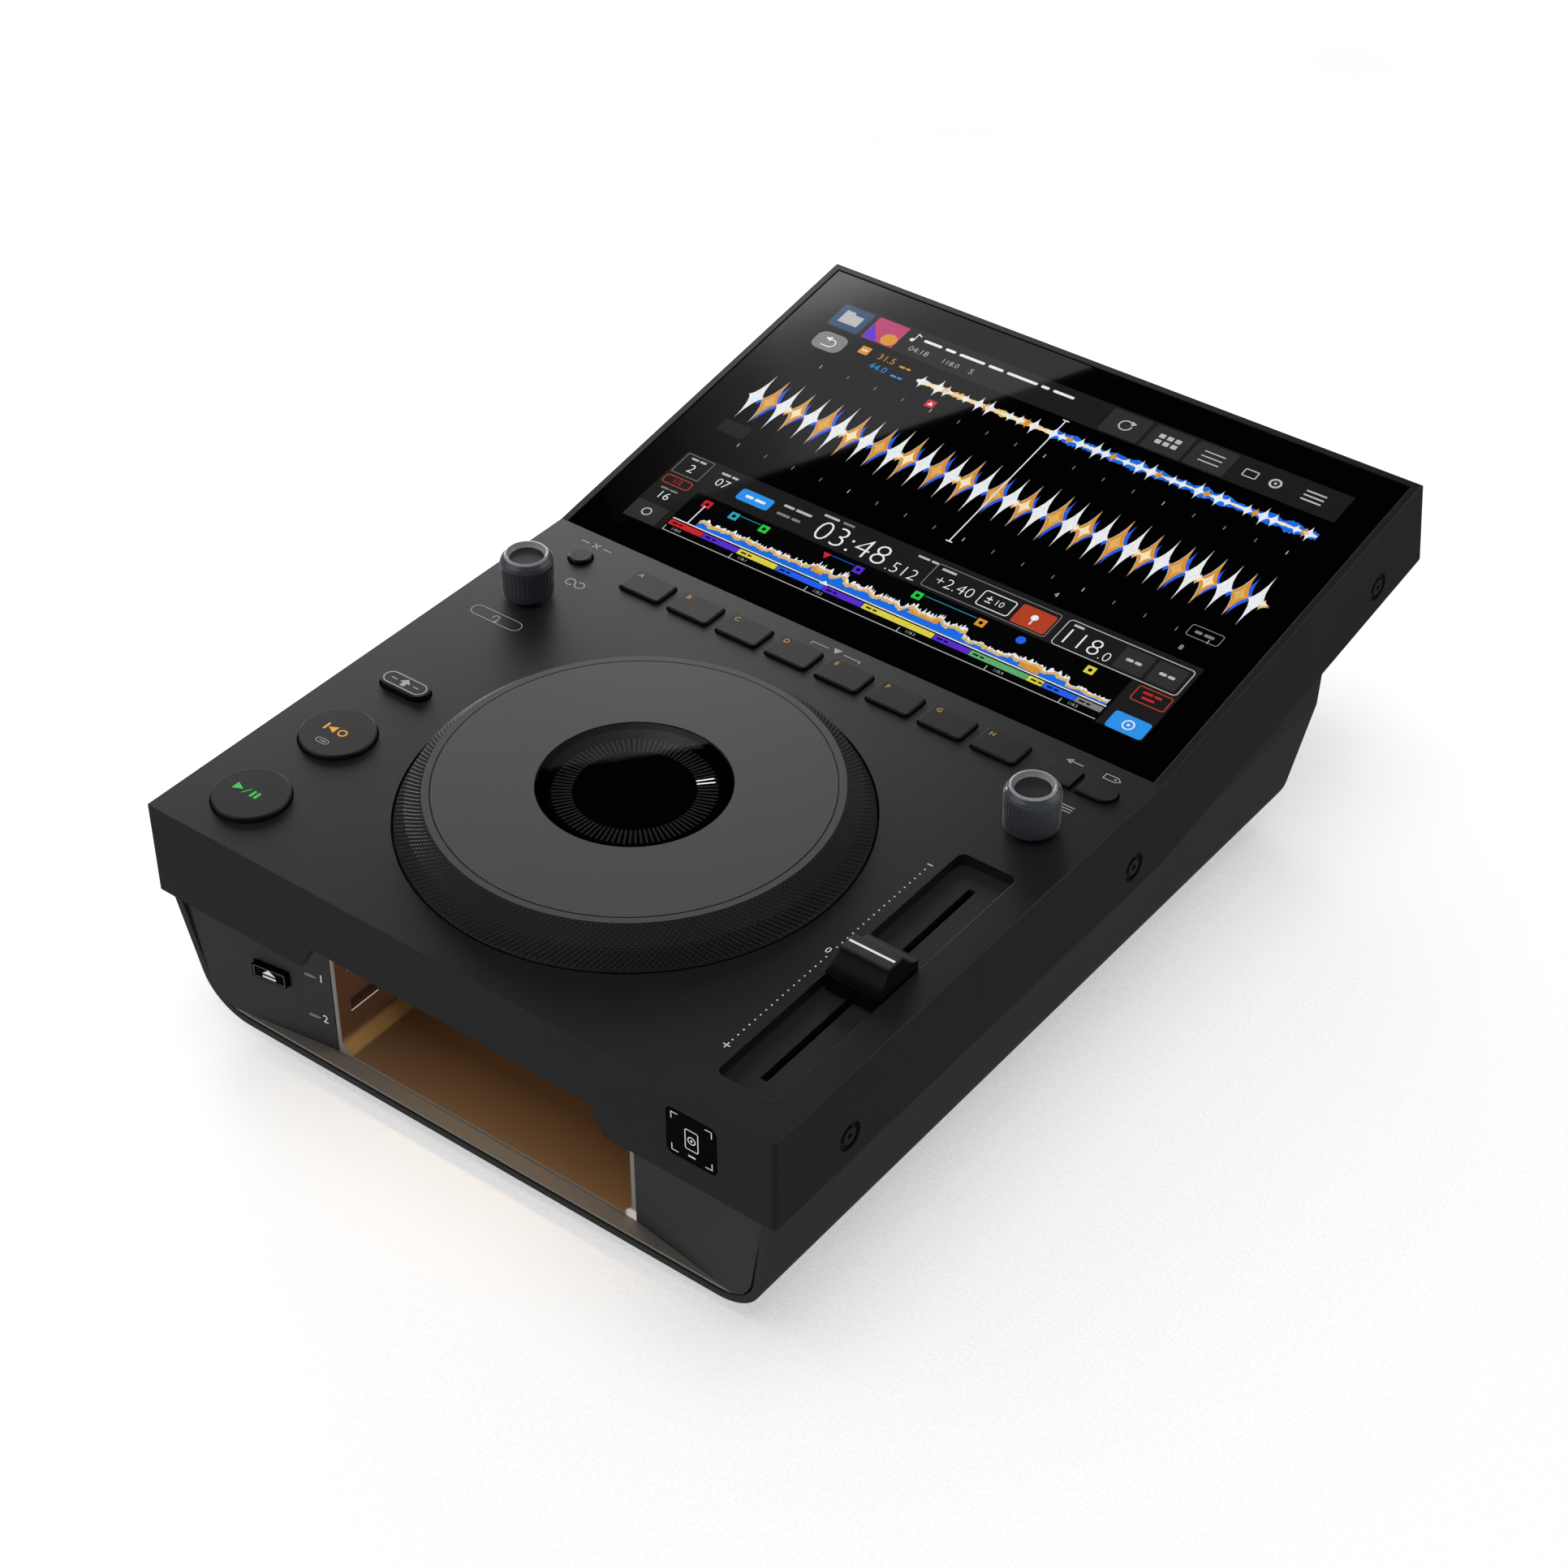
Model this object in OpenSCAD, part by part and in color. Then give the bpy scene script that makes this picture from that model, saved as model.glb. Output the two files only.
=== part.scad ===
// Tabletop media player for a disc jockey: jog wheel, tempo fader, cue pads,
// a tilted touch screen and a lit front bay for memory sticks.
// Millimetres. +Z up, +Y to the rear, origin under the middle of the body.

/* [Slab: deck, screen housing and skirts] */
// Width of the slab
body_w = 250; // [246:0.5:262]
// Length of the level deck, front edge to screen crease
deck_d = 201.5; // [200:0.5:216]
// Length of the tilted screen housing along its slope
screen_l = 165.2; // [165:0.2:176]
// Tilt of the screen housing above the deck
screen_tilt = 9.9; // [8:0.1:11]
// Thickness of the slab, top face to underside
slab_t = 34.8; // [34:0.1:38]
// Wall of the skirts and of the deck plate
skin_t = 3; // [2.6:0.1:3.2]
// Plate that carries the screen glass
screen_skin_t = 5; // [4.6:0.1:6]
// Radius of the slab's upright front corners
corner_r = 2; // [1:0.1:2.5]
// Chamfer along the slab's outer edges
edge_c = 0.5; // [0.2:0.1:0.8]

/* [Lower case] */
// Height of the lower case under the slab
case_h = 49.5; // [48:0.5:56]
// Step in from the slab's side to the case's side
case_side_inset = 3.3; // [3.3:0.1:3.8]
// Step in from the slab's front to the case's front
case_front_inset = 2.7; // [2.4:0.1:3]
// Depth of the case at its top edge, from the slab's front
case_d = 310.5; // [306:0.5:316]
// Inward lean of the case's sides
side_lean = 10; // [8:0.5:11]
// Backward lean of the case's front rim
front_lean = 4.7; // [4:0.1:5]
// Forward lean of the case's rear wall
rear_lean = 6; // [4:0.5:7]
// Wall of the case
case_wall = 3; // [2.8:0.1:3.2]
// Radius of the case's lower long corners
case_corner_r = 18; // [16:0.5:19]
// Height of the lip that the case pushes up inside the slab
lip_h = 3; // [2:0.1:4]
// Clearance between parts that fit together
fit = 0.3; // [0.2:0.05:0.35]
// Thickness of the cover under the overhanging screen housing
cover_t = 2.5; // [2:0.1:3]

/* [Feet and screws] */
// Height of the rubber feet below the case
foot_h = 5; // [4:0.5:7]
// Diameter of the feet
foot_d = 22; // [18:0.5:24]
// Feet centres across
foot_pitch_x = 170; // [150:1:176]
// Feet centres, front to rear
foot_pitch_y = 240; // [220:1:244]
// Distance from the slab's front to the front feet
foot_front = 42; // [38:1:46]
// Diameter of the round recesses in the skirts for the side screws
dimple_d = 10; // [8:0.5:11]
// Depth of those recesses
dimple_t = 1.2; // [0.8:0.1:1.4]
// Height of the side screws above the slab's underside
side_screw_h = 10.3; // [9:0.1:12]
// Distance of the first side screw from the front, and of the second from the screen crease
side_screw_front = 36; // [32:0.5:40]
side_screw_back = 13.5; // [12:0.5:16]
// Place of the rear side screws up the slope of the screen housing
side_screw_u = 136; // [128:1:142]
// Radius of a screw shank
screw_r = 1.5; // [1.4:0.05:1.6]

/* [Front bay] */
// Inside width of the bay
bay_w = 121; // [116:0.5:124]
// Distance of the bay's mouth behind the slab's front
mouth_y = 12.3; // [11.5:0.1:13.5]
// Distance of the wings behind the slab's front, at wing_x
wing_y = 5.2; // [5:0.1:6]
// Half width at which wing_y is measured
wing_x = 112; // [110:0.5:114]
// Thickness of the front panel
panel_t = 2.5; // [2:0.1:2.8]
// Level of the ledge in front of the bay
ledge_z = 9.5; // [9.2:0.1:9.8]
// Level of the bay's floor
bay_floor_z = 10.3; // [10.2:0.1:11]
// Height of the bay inside
bay_h = 46.5; // [44:0.5:47.5]
// Depth of the bay from its mouth
bay_d = 46; // [40:0.5:48]
// Wall of the bay liner
liner_t = 1.6; // [1.4:0.1:1.7]
// Chamfer along the floor's side edges
bay_c = 4; // [3:0.5:5]
// Height of the finger notch in the front skirt
notch_h = 10.8; // [9:0.1:11.5]
// Width of the notch at its top
notch_w = 112; // [104:1:114]
// Run of the notch's slanted ends
notch_run = 6; // [4:0.5:6.5]
// Length of a stick port's opening
port_l = 12.5; // [12.4:0.1:12.7]
// Height of a stick port's opening
port_h = 5.1; // [5:0.1:5.3]
// Shell of a stick port
port_t = 0.3; // [0.3:0.05:0.4]
// Depth of a stick port
port_d = 14; // [13:0.5:15]
// Distance of the ports' centre behind the bay's mouth
port_y = 11.5; // [10:0.5:13]
// Heights of the port centres above the bay floor
port_zs = [16.8, 34.2];
// Width and height of the eject button
eject_w = 13.4; // [12:0.1:15]
eject_h = 5.7; // [5:0.1:6.5]
// Height of the eject button proud of the wing
eject_rise = 1.8; // [1.6:0.1:2.2]
// Distance of the eject button from the bay's edge, along the wing
eject_s = 25.4; // [24:0.1:27]
// Height of the eject button above the ledge
eject_up = 23.8; // [22:0.1:26]
// Side of the square window in the front skirt
window_w = 18.6; // [16:0.1:20]
// Distance of that window's centre from the slab's side
window_in = 30; // [28:0.5:35]
// Distance of that window's centre below the deck
window_down = 15.9; // [14:0.1:17]

/* [Screen] */
// Width of the slab's frame beside and above the glass
bezel_w = 3; // [2.6:0.1:3.2]
// Thickness of the glass
glass_t = 2; // [1.8:0.1:2.2]
// Step from the frame down to the glass
glass_sink = 0.25; // [0.1:0.05:0.4]
// Gap around the glass
glass_gap = 0.5; // [0.3:0.05:0.7]
// Distance of the display module from the slab's sides
lcd_in = 10; // [9.5:0.1:13]
// Height of the display module
lcd_h = 147; // [142:0.5:148]
// Thickness of the display module
lcd_t = 3.8; // [3:0.1:4.2]
// Middle of the display, measured up the slope from the crease
lcd_u = 80.9; // [80.5:0.1:81.5]

/* [Jog wheel] */
// How much nearer the wheel's axis is to the front than to the row of pads
jog_ahead = 4.7; // [3.5:0.1:6]
// Radius of the jog wheel at the deck
jog_r = 75.8; // [74:0.1:76]
// Gap around the jog wheel
jog_gap = 0.8; // [0.6:0.1:1]
// Height of the wheel's top above the deck
jog_h = 11.2; // [10:0.1:12]
// Radius of the wheel's flat top
jog_top_r = 66.5; // [65.5:0.1:67]
// Radius of the top disc
jog_disc_r = 63.6; // [62.5:0.1:63.8]
// Thickness of the top disc
jog_disc_t = 2; // [1.6:0.1:2.4]
// Radius of the hole for the display in the wheel's middle
jog_hole_r = 31.3; // [30:0.1:32]
// Radial gap between that hole and the display
lens_gap = 0.6; // [0.5:0.05:0.8]
// Radius of the fixed post
post_r = 10; // [9.5:0.1:10.5]
// Bore of the post, for the display's lead
post_bore_r = 7; // [6:0.1:7.5]
// Outer radius of the ball bearing
bearing_r = 16; // [15.5:0.1:16.5]
// Width of the ball bearing
bearing_w = 7; // [6:0.1:7]
// Number of slots in the speed disc
disc_slots = 36; // [24:1:48]

/* [Buttons] */
// Distance of the round buttons' column from the slab's side
key_in = 24.2; // [23.5:0.1:25.5]
// Distance of play and cue from the slab's front
play_y = 22.9; // [22.5:0.1:24]
cue_y = 62.4; // [61.5:0.1:63.5]
// Diameter of play and cue
round_d = 25.6; // [24:0.1:26]
// Distance of the shift button from the front
shift_y = 94.6; // [94:0.1:96]
// Length and width of the shift button
shift_l = 19.6; // [18:0.1:20.5]
shift_w = 8; // [7:0.1:8.5]
// Height of the shift button above the deck
shift_rise = 2.2; // [1.8:0.1:2.6]
// Height of the round buttons above the deck
round_rise = 1.8; // [1.5:0.1:2.4]
// Distance of the small round button and of the knobs from the slab's side
knob_in = 21.6; // [21:0.1:22.5]
// Distance of the upper row of buttons from the screen crease
row_back = 14.6; // [13.5:0.1:15]
// Diameter of the small round button
delete_d = 8.4; // [7.5:0.1:9]
// Depth of a cue pad
pad_d = 11.6; // [11:0.1:12.5]
// Gap between two cue pads
pad_gap = 3.9; // [3.6:0.1:4.4]
// Distance of the outer pads' middles from the column of the knobs
pads_in = 30.25; // [29.5:0.05:31]
// Height of the pads above the deck
pad_rise = 1.3; // [1.2:0.1:1.6]
// Length and width of the pill that the back and tag buttons form
pill_l = 27.6; // [26:0.1:28.5]
pill_w = 9; // [8:0.1:9.6]
// Width of the bar between those two
pill_bar = 1.4; // [1:0.1:1.8]
// Gap around a button
key_gap = 0.45; // [0.35:0.05:0.5]
// Flange that keeps a button in the deck
flange_out = 0.9; // [0.8:0.05:0.95]
flange_t = 1.4; // [1.2:0.1:1.6]
// Travel of a button
key_travel = 1; // [0.8:0.1:1.1]
// Rounding of the buttons' upper edges
key_edge = 0.45; // [0.2:0.05:0.6]

/* [Knobs] */
// Distance of the two knobs in front of the upper row of buttons
knob_ahead = 27.4; // [26.4:0.1:28.4]
// Diameter of a knob
knob_d = 18.6; // [17:0.1:19.5]
// Top of a knob above the deck
knob_h = 17.3; // [16:0.1:19]
// Running height of a knob's lower edge above the deck
knob_lift = 1.5; // [1.4:0.1:1.8]
// Outer radius of the rim around a knob's top
knob_rim_r = 7.3; // [6.8:0.1:7.6]
// Depth of the dish in a knob's top
knob_dish = 2.2; // [1.5:0.1:2.6]
// Radius of a knob's shaft
shaft_r = 3; // [2.9:0.05:3.1]
// Running clearance of a knob on its shaft
shaft_play = 0.06; // [0.04:0.01:0.08]

/* [Tempo fader] */
// Distance of the fader's axis from the slab's side
fader_in = 21.3; // [21:0.1:22]
// How much nearer the fader's middle is to the front than to the knob
fader_ahead = 9.5; // [9:0.1:10]
// Travel of the fader
fader_travel = 100; // [96:1:100]
// Width of the trough
trough_w = 21; // [20.5:0.1:21.5]
// Depth of the trough
trough_t = 4; // [3.6:0.1:4.2]
// Free length at each end of the cap's travel
trough_spare = 0.5; // [0.4:0.1:1]
// Radius of the trough's corners
trough_r = 2.8; // [2:0.1:3]
// Length of the cap along its travel
cap_l = 22; // [20:0.2:22]
// Width of the cap at its top
cap_top_w = 17.4; // [16:0.1:18.5]
// Top of the cap above the deck
cap_h = 8.4; // [8:0.1:9]
// Width of the slot in the trough
slot_w = 2.6; // [2.5:0.1:3]
// Width and height of the fader's metal body
fader_body_w = 12; // [11:0.1:13]
fader_body_h = 10; // [9.5:0.1:10.5]

/* [Boards and sockets] */
// Thickness of the circuit boards
board_t = 1.6; // [1.2:0.1:2]
// Level of the deck boards below the deck's top
board_down = 12.4; // [12:0.1:13]
// Height of the posts under the main boards
standoff_h = 8; // [6:0.5:10]
// Distance of the rear connector panel from the slab's sides
rear_in = 27; // [25:0.5:30]
// Height of the rear connector panel
rear_h = 34; // [32:0.5:36]
// Middle of the rear panel below the case's top edge
rear_down = 26; // [25:0.5:27]
// Diameter of the power button
power_d = 10; // [9:0.5:12]
// Travel of the power button
power_travel = 2; // [1.5:0.1:2.2]
// Height to which the front panel reaches below the deck
panel_down = 22; // [20:0.5:23]
// Seam between the front panel and the case
seam = 0.6; // [0.4:0.1:0.8]

/* [Hidden] */
$fn = 72;
split_z = foot_h + case_h;
deck_z = split_z + slab_t;
cs = cos(screen_tilt);
sn = sin(screen_tilt);
body_d = deck_d + screen_l * cs + (slab_t - edge_c) * sn;
half_w = body_w / 2;
side_screw_y = [side_screw_front, deck_d - side_screw_back];
row_y = deck_d - row_back;
knob_y = row_y - knob_ahead;
jog_y = (row_y - jog_ahead) / 2;
fader_y = (knob_y - fader_ahead) / 2;
key_x = half_w - key_in;
knob_x = half_w - knob_in;
fader_x = half_w - fader_in;
window_x = half_w - window_in;
pad_pitch = (knob_x - pads_in) / 3.5;
pad_w = pad_pitch - pad_gap;
lcd_w = body_w - 2 * lcd_in;
rear_w = body_w - 2 * rear_in;
under_y = deck_d + slab_t * tan(screen_tilt / 2);
case_hw = half_w - case_side_inset;
case_cx = case_hw - (case_h - case_corner_r) * tan(side_lean) - case_corner_r / cos(side_lean);
floor_z = foot_h + case_wall;
wing_a = atan((mouth_y - wing_y) / (wing_x - bay_w / 2));
panel_z = deck_z - panel_down;
bay_top_z = bay_floor_z + bay_h;
liner_hw = bay_w / 2 + liner_t;
wing_x0 = liner_hw + 0.2;
wing_end = half_w + 3;
switch_h = 3.8;
switch_pin = 1;
board_top = -board_down;
stem_end = board_top + switch_h + switch_pin + key_travel + fit;
flange_top = -skin_t - fit;
hole_r = round_d / 2 + key_gap;
glass_u1 = screen_l - bezel_w;
glass_n = -glass_sink - glass_t;
lcd_n = glass_n - lcd_t;
bracket_t = 1;
web_t = 2.5;
ring_t = 2.6;
disc_z = jog_h - jog_disc_t;
web_z = disc_z - 2;
well_r = jog_hole_r + 0.2;
well_z = -4;
bearing_z = well_z - bearing_w;
base_z = bearing_z - 2;
lens_r = jog_hole_r - lens_gap;
jog_flange_z = -8;
jog_case_r = jog_r + 1.4;
jog_case_t = 2;
jog_screw_r = jog_case_r + 4.8;
board_x0 = jog_screw_r + 4.8;
board_x1 = half_w - 7;
lever_l = 4;
slot_l = fader_travel + lever_l + 1;
trough_l = fader_travel + cap_l + 2 * trough_spare;
trough_bottom = -trough_t - 1.6;
stem_r = 2;
knob_clear = 4.9;
supply_x = case_cx - 90;
post_out = half_w - 11;
post_xy = [[-post_out, 43], [25 - post_out, 43], [-post_out, 112], [25 - post_out, knob_y - 19.5],
  [25.5 - post_out, row_y + 6.1], [-2.5 * pad_pitch, row_y - 10.3], [2.5 * pad_pitch, row_y - 10.3],
  [post_out, knob_y - 7.5]];
jog_screw_a = [45, 135, 225, 315];
pads = [-3.5, -2.5, -1.5, -0.5, 0.5, 1.5, 2.5, 3.5];

// Y and Z of a point given by its run up the screen's slope and its height off it
function sy(u, n) = deck_d + u * cs - n * sn;
function sz(u, n) = deck_z + u * sn + n * cs;
// Front face of the case and rear face of the case at a level
function front_y(z) = case_front_inset + (split_z - z) * tan(front_lean);
function rear_y(z) = case_d - (split_z - z) * tan(rear_lean);
// Where the rear face meets a plane parallel to the slope, lift above the slab's underside
function lift_y(lift) = deck_d + (slab_t - lift) * tan(screen_tilt / 2);
function meet_y(lift, back) =
  (case_d - back + tan(rear_lean) * (lift - lift_y(lift) * tan(screen_tilt)))
  / (1 - tan(rear_lean) * tan(screen_tilt));
function meet_z(lift, back) = split_z + lift + (meet_y(lift, back) - lift_y(lift)) * tan(screen_tilt);
// Front face of a wing of the front panel
function wing_at(x) = mouth_y - (x - bay_w / 2) * tan(wing_a);

module in_frame() {
  translate([0, -body_d / 2, 0]) children();
}

module at_deck(x, y) {
  translate([x, y - body_d / 2, deck_z]) children();
}

module on_slope() {
  translate([0, deck_d - body_d / 2, deck_z]) rotate([screen_tilt, 0, 0]) children();
}

module on_wing() {
  translate([-bay_w / 2, mouth_y - body_d / 2, ledge_z]) rotate([0, 0, wing_a]) children();
}

module on_rear() {
  translate([0, case_d - body_d / 2, split_z]) rotate([-rear_lean, 0, 0]) children();
}

// Solid with a side view given in Y and Z
module side_view(w, pts) {
  rotate([90, 0, 90]) linear_extrude(height = w, center = true) polygon(pts);
}

module box(x0, x1, y0, y1, z0, z1) {
  translate([x0, y0, z0]) cube([x1 - x0, y1 - y0, z1 - z0]);
}

module rr(w, d, r) {
  square([w - 2 * r, d], center = true);
  square([w, d - 2 * r], center = true);
  for (i = [-1, 1]) {
    for (j = [-1, 1]) {
      translate([i * (w / 2 - r), j * (d / 2 - r)]) circle(r = r);
    }
  }
}

module pill(l, w) {
  square([l - w, w], center = true);
  for (i = [-1, 1]) {
    translate([i * (l - w) / 2, 0]) circle(d = w);
  }
}

module ring(r0, r1, z0, z1) {
  translate([0, 0, z0]) linear_extrude(height = z1 - z0) {
    difference() {
      circle(r = r1);
      circle(r = r0);
    }
  }
}

module disc(r, z0, z1) {
  translate([0, 0, z0]) cylinder(r = r, h = z1 - z0);
}

// ---- Slab ----

module slab_solid() {
  c = edge_c;
  pts = [[c, split_z], [0, split_z + c], [0, deck_z - c], [c, deck_z], [deck_d, deck_z],
    [sy(screen_l - c, 0), sz(screen_l - c, 0)], [sy(screen_l, -c), sz(screen_l, -c)],
    [sy(screen_l, c - slab_t), sz(screen_l, c - slab_t)],
    [sy(screen_l - c, -slab_t), sz(screen_l - c, -slab_t)], [under_y, split_z]];
  bar = c * sqrt(2);
  in_frame() difference() {
    intersection() {
      side_view(body_w, pts);
      linear_extrude(height = deck_z + 60) {
        translate([-half_w, corner_r]) square([body_w, body_d]);
        translate([corner_r - half_w, 0]) square([body_w - 2 * corner_r, body_d]);
        for (i = [-1, 1]) {
          translate([i * (half_w - corner_r), corner_r]) circle(r = corner_r);
        }
      }
    }
    for (i = [-1, 1]) {
      translate([i * half_w, deck_d / 2, deck_z]) rotate([0, 45, 0])
        cube([bar, deck_d + 20, bar], center = true);
      translate([i * half_w, deck_d, deck_z]) rotate([screen_tilt, 0, 0]) rotate([0, 45, 0])
        translate([0, screen_l / 2, 0]) cube([bar, screen_l + 20, bar], center = true);
    }
  }
}

module slab_hollow() {
  bend_u = (screen_skin_t * cs - skin_t) / sn;
  pts = [[skin_t, split_z - 2], [skin_t, deck_z - skin_t],
    [sy(bend_u, -screen_skin_t), deck_z - skin_t],
    [sy(screen_l - skin_t, -screen_skin_t), sz(screen_l - skin_t, -screen_skin_t)],
    [sy(screen_l - skin_t, -slab_t - 2), sz(screen_l - skin_t, -slab_t - 2)],
    [under_y, split_z - 2]];
  in_frame() side_view(body_w - 2 * skin_t, pts);
}

module side_screw_places() {
  for (i = [-1, 1]) {
    for (y = side_screw_y) {
      in_frame() translate([i * half_w, y, split_z + side_screw_h]) rotate([0, i * 90, 0])
        children();
    }
    on_slope() translate([i * half_w, side_screw_u, side_screw_h - slab_t]) rotate([0, i * 90, 0])
      children();
  }
}

module key_holes() {
  for (y = [play_y, cue_y]) {
    at_deck(-key_x, y) disc(hole_r, -20, 5);
  }
  at_deck(-key_x, shift_y) translate([0, 0, -20]) linear_extrude(height = 25)
    pill(shift_l + 2 * key_gap, shift_w + 2 * key_gap);
  at_deck(-knob_x, row_y) disc(delete_d / 2 + key_gap, -20, 5);
  for (i = [-1, 1]) {
    at_deck(i * knob_x, knob_y) disc(knob_clear, -20, 5);
  }
  for (p = pads) {
    at_deck(p * pad_pitch, row_y) translate([0, 0, -20]) linear_extrude(height = 25)
      rr(pad_w + 2 * key_gap, pad_d + 2 * key_gap, 2);
  }
  at_deck(knob_x, row_y) translate([0, 0, -20]) linear_extrude(height = 25) {
    difference() {
      pill(pill_l + 2 * key_gap, pill_w + 2 * key_gap);
      square([pill_bar, 40], center = true);
    }
  }
}

module notch_cut() {
  x1 = notch_w / 2;
  x2 = x1 + notch_run * (notch_h + 2) / notch_h;
  in_frame() translate([0, skin_t + 1, 0]) rotate([90, 0, 0]) linear_extrude(height = skin_t + 2)
    polygon([[-x2, split_z - 2], [x2, split_z - 2], [x1, split_z + notch_h],
      [-x1, split_z + notch_h]]);
}

module top_case() {
  color("#3a3b3d") difference() {
    union() {
      difference() {
        slab_solid();
        slab_hollow();
      }
      at_deck(fader_x, fader_y) box(-trough_w / 2 - 1.6, trough_w / 2 + 1.6,
        -trough_l / 2 - 1.6, trough_l / 2 + 1.6, trough_bottom, -skin_t + 0.5);
      for (p = post_xy) {
        at_deck(p[0], p[1]) disc(2.8, board_top, -skin_t + 0.5);
      }
      for (a = jog_screw_a) {
        at_deck(0, jog_y) rotate([0, 0, a]) translate([jog_screw_r, 0, 0])
          disc(3.4, jog_flange_z + 2, -skin_t + 0.5);
      }
      on_slope() {
        for (i = [-1, 1]) {
          for (u = [16, screen_l - 12]) {
            translate([i * (half_w - 7.2), u, 0]) disc(2.6, lcd_n, -screen_skin_t + 0.5);
          }
        }
      }
    }
    at_deck(0, jog_y) disc(jog_r + jog_gap, -20, 5);
    key_holes();
    at_deck(fader_x, fader_y) translate([0, 0, -trough_t]) linear_extrude(height = 10)
      rr(trough_w, trough_l, trough_r);
    at_deck(fader_x, fader_y) box(-slot_w / 2, slot_w / 2, -slot_l / 2, slot_l / 2, -12, 8);
    on_slope() box(-half_w + bezel_w, half_w - bezel_w, 0, glass_u1, glass_n, 8);
    on_slope() box(-lcd_w / 2 - fit, lcd_w / 2 + fit, lcd_u - lcd_h / 2 - fit, lcd_u + lcd_h / 2 + fit,
      -20, 8);
    notch_cut();
    in_frame() translate([window_x, skin_t + 1, deck_z - window_down]) rotate([90, 0, 0])
      linear_extrude(height = skin_t + 2) rr(window_w + 0.2, window_w + 0.2, 2.6);
    side_screw_places() translate([0, 0, -dimple_t]) cylinder(d = dimple_d, h = 5);
    side_screw_places() translate([0, 0, -8]) cylinder(r = screw_r + 0.15, h = 12);
    for (p = post_xy) {
      at_deck(p[0], p[1]) disc(1.2, -20, -skin_t);
    }
    for (a = jog_screw_a) {
      at_deck(0, jog_y) rotate([0, 0, a]) translate([jog_screw_r, 0, 0]) disc(1.4, -20, -skin_t + 1);
    }
  }
}

// ---- Lower case ----

module case_section(s, top) {
  rs = case_corner_r - s;
  tx = case_cx + rs * cos(side_lean);
  tz = foot_h + case_corner_r - rs * sin(side_lean);
  sx = case_hw - s / cos(side_lean);
  translate([0, 450, 0]) rotate([90, 0, 0]) linear_extrude(height = 500) {
    polygon([[-case_cx, foot_h + s], [case_cx, foot_h + s], [tx, tz], [sx, split_z], [sx, top],
      [-sx, top], [-sx, split_z], [-tx, tz]]);
    for (i = [-1, 1]) {
      translate([i * case_cx, foot_h + case_corner_r]) circle(r = rs);
    }
  }
}

module case_outline() {
  back = rear_y(foot_h);
  in_frame() side_view(body_w, [[front_y(foot_h), foot_h], [front_y(split_z), split_z],
    [skin_t + fit, split_z], [skin_t + fit, split_z + lip_h], [lift_y(lip_h), split_z + lip_h],
    [meet_y(lip_h, 0), meet_z(lip_h, 0)], [back, foot_h]]);
}

module case_hollow() {
  b = case_wall / cos(rear_lean);
  top = split_z + 40;
  in_frame() side_view(body_w, [[-5, floor_z], [-5, top], [rear_y(top) - b, top],
    [rear_y(floor_z) - b, floor_z]]);
}

module case_lugs() {
  intersection() {
    for (i = [-1, 1]) {
      for (y = side_screw_y) {
        in_frame() translate([i * (case_hw - 3), y, split_z + 5]) cube([6, 13, 22], center = true);
      }
    }
    in_frame() case_section(0, split_z + 60);
  }
}

module board_places() {
  for (i = [-1, 1]) {
    for (y = [82, 150, 216]) {
      in_frame() translate([i * 84, y, floor_z]) children();
    }
  }
}

module feet_places() {
  for (i = [-1, 1]) {
    for (j = [0, 1]) {
      in_frame() translate([i * foot_pitch_x / 2, foot_front + j * foot_pitch_y, 0]) children();
    }
  }
}

module lower_case() {
  color("#2e2f31") difference() {
    union() {
      difference() {
        intersection() {
          case_outline();
          in_frame() case_section(0, split_z + 60);
        }
        intersection() {
          case_hollow();
          in_frame() case_section(case_wall, split_z + 70);
        }
      }
      case_lugs();
      board_places() cylinder(r = 3.5, h = standoff_h);
    }
    side_screw_places() translate([0, 0, -14]) cylinder(r = screw_r + 0.1, h = 16);
    board_places() translate([0, 0, 1]) cylinder(r = 1.3, h = standoff_h);
    on_rear() translate([0, 5, -rear_down]) rotate([90, 0, 0]) linear_extrude(height = 15)
      rr(rear_w, rear_h, 3);
    for (i = [-8:8]) {
      in_frame() translate([i * 9, 190, floor_z - 8]) linear_extrude(height = 10)
        rotate(90) pill(56, 3);
    }
  }
}

module feet() {
  color("#151515") feet_places() cylinder(d = foot_d, h = foot_h);
}

module screen_rear_cover() {
  u0 = (meet_y(lip_h, 0) - deck_d - (slab_t - lip_h) * sn) / cs + fit;
  u1 = screen_l - skin_t - fit;
  hw = half_w - skin_t - fit;
  color("#303133") difference() {
    on_slope() union() {
      box(-hw, hw, u0, u1, -slab_t, cover_t - slab_t);
      for (i = [-1, 1]) {
        translate([i * (hw - 3), side_screw_u, 8.5 - slab_t]) cube([6, 13, 17], center = true);
      }
      for (x = [-80, -40, 0, 40, 80]) {
        box(x - 1, x + 1, u0 + 4, u1 - 4, 1 - slab_t, 8 - slab_t);
      }
    }
    side_screw_places() translate([0, 0, -14]) cylinder(r = screw_r + 0.1, h = 16);
  }
}

module side_screws() {
  color("#1d1d1f") side_screw_places() difference() {
    union() {
      translate([0, 0, -dimple_t]) cylinder(r = 2.9, h = dimple_t - 0.1);
      translate([0, 0, -9]) cylinder(r = screw_r, h = 9 - dimple_t);
    }
    translate([0, 0, -dimple_t + 0.4]) cylinder(r = 1.1, h = 3, $fn = 6);
  }
}

// ---- Front bay ----

// Plan of a wing, side = -1 left, 1 right, running out past the case
module wing_plan(side) {
  t = panel_t / cos(wing_a);
  polygon([[side * wing_x0, wing_at(wing_x0)], [side * wing_end, wing_at(wing_end)],
    [side * wing_end, wing_at(wing_end) + t], [side * wing_x0, wing_at(wing_x0) + t]]);
}

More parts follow.
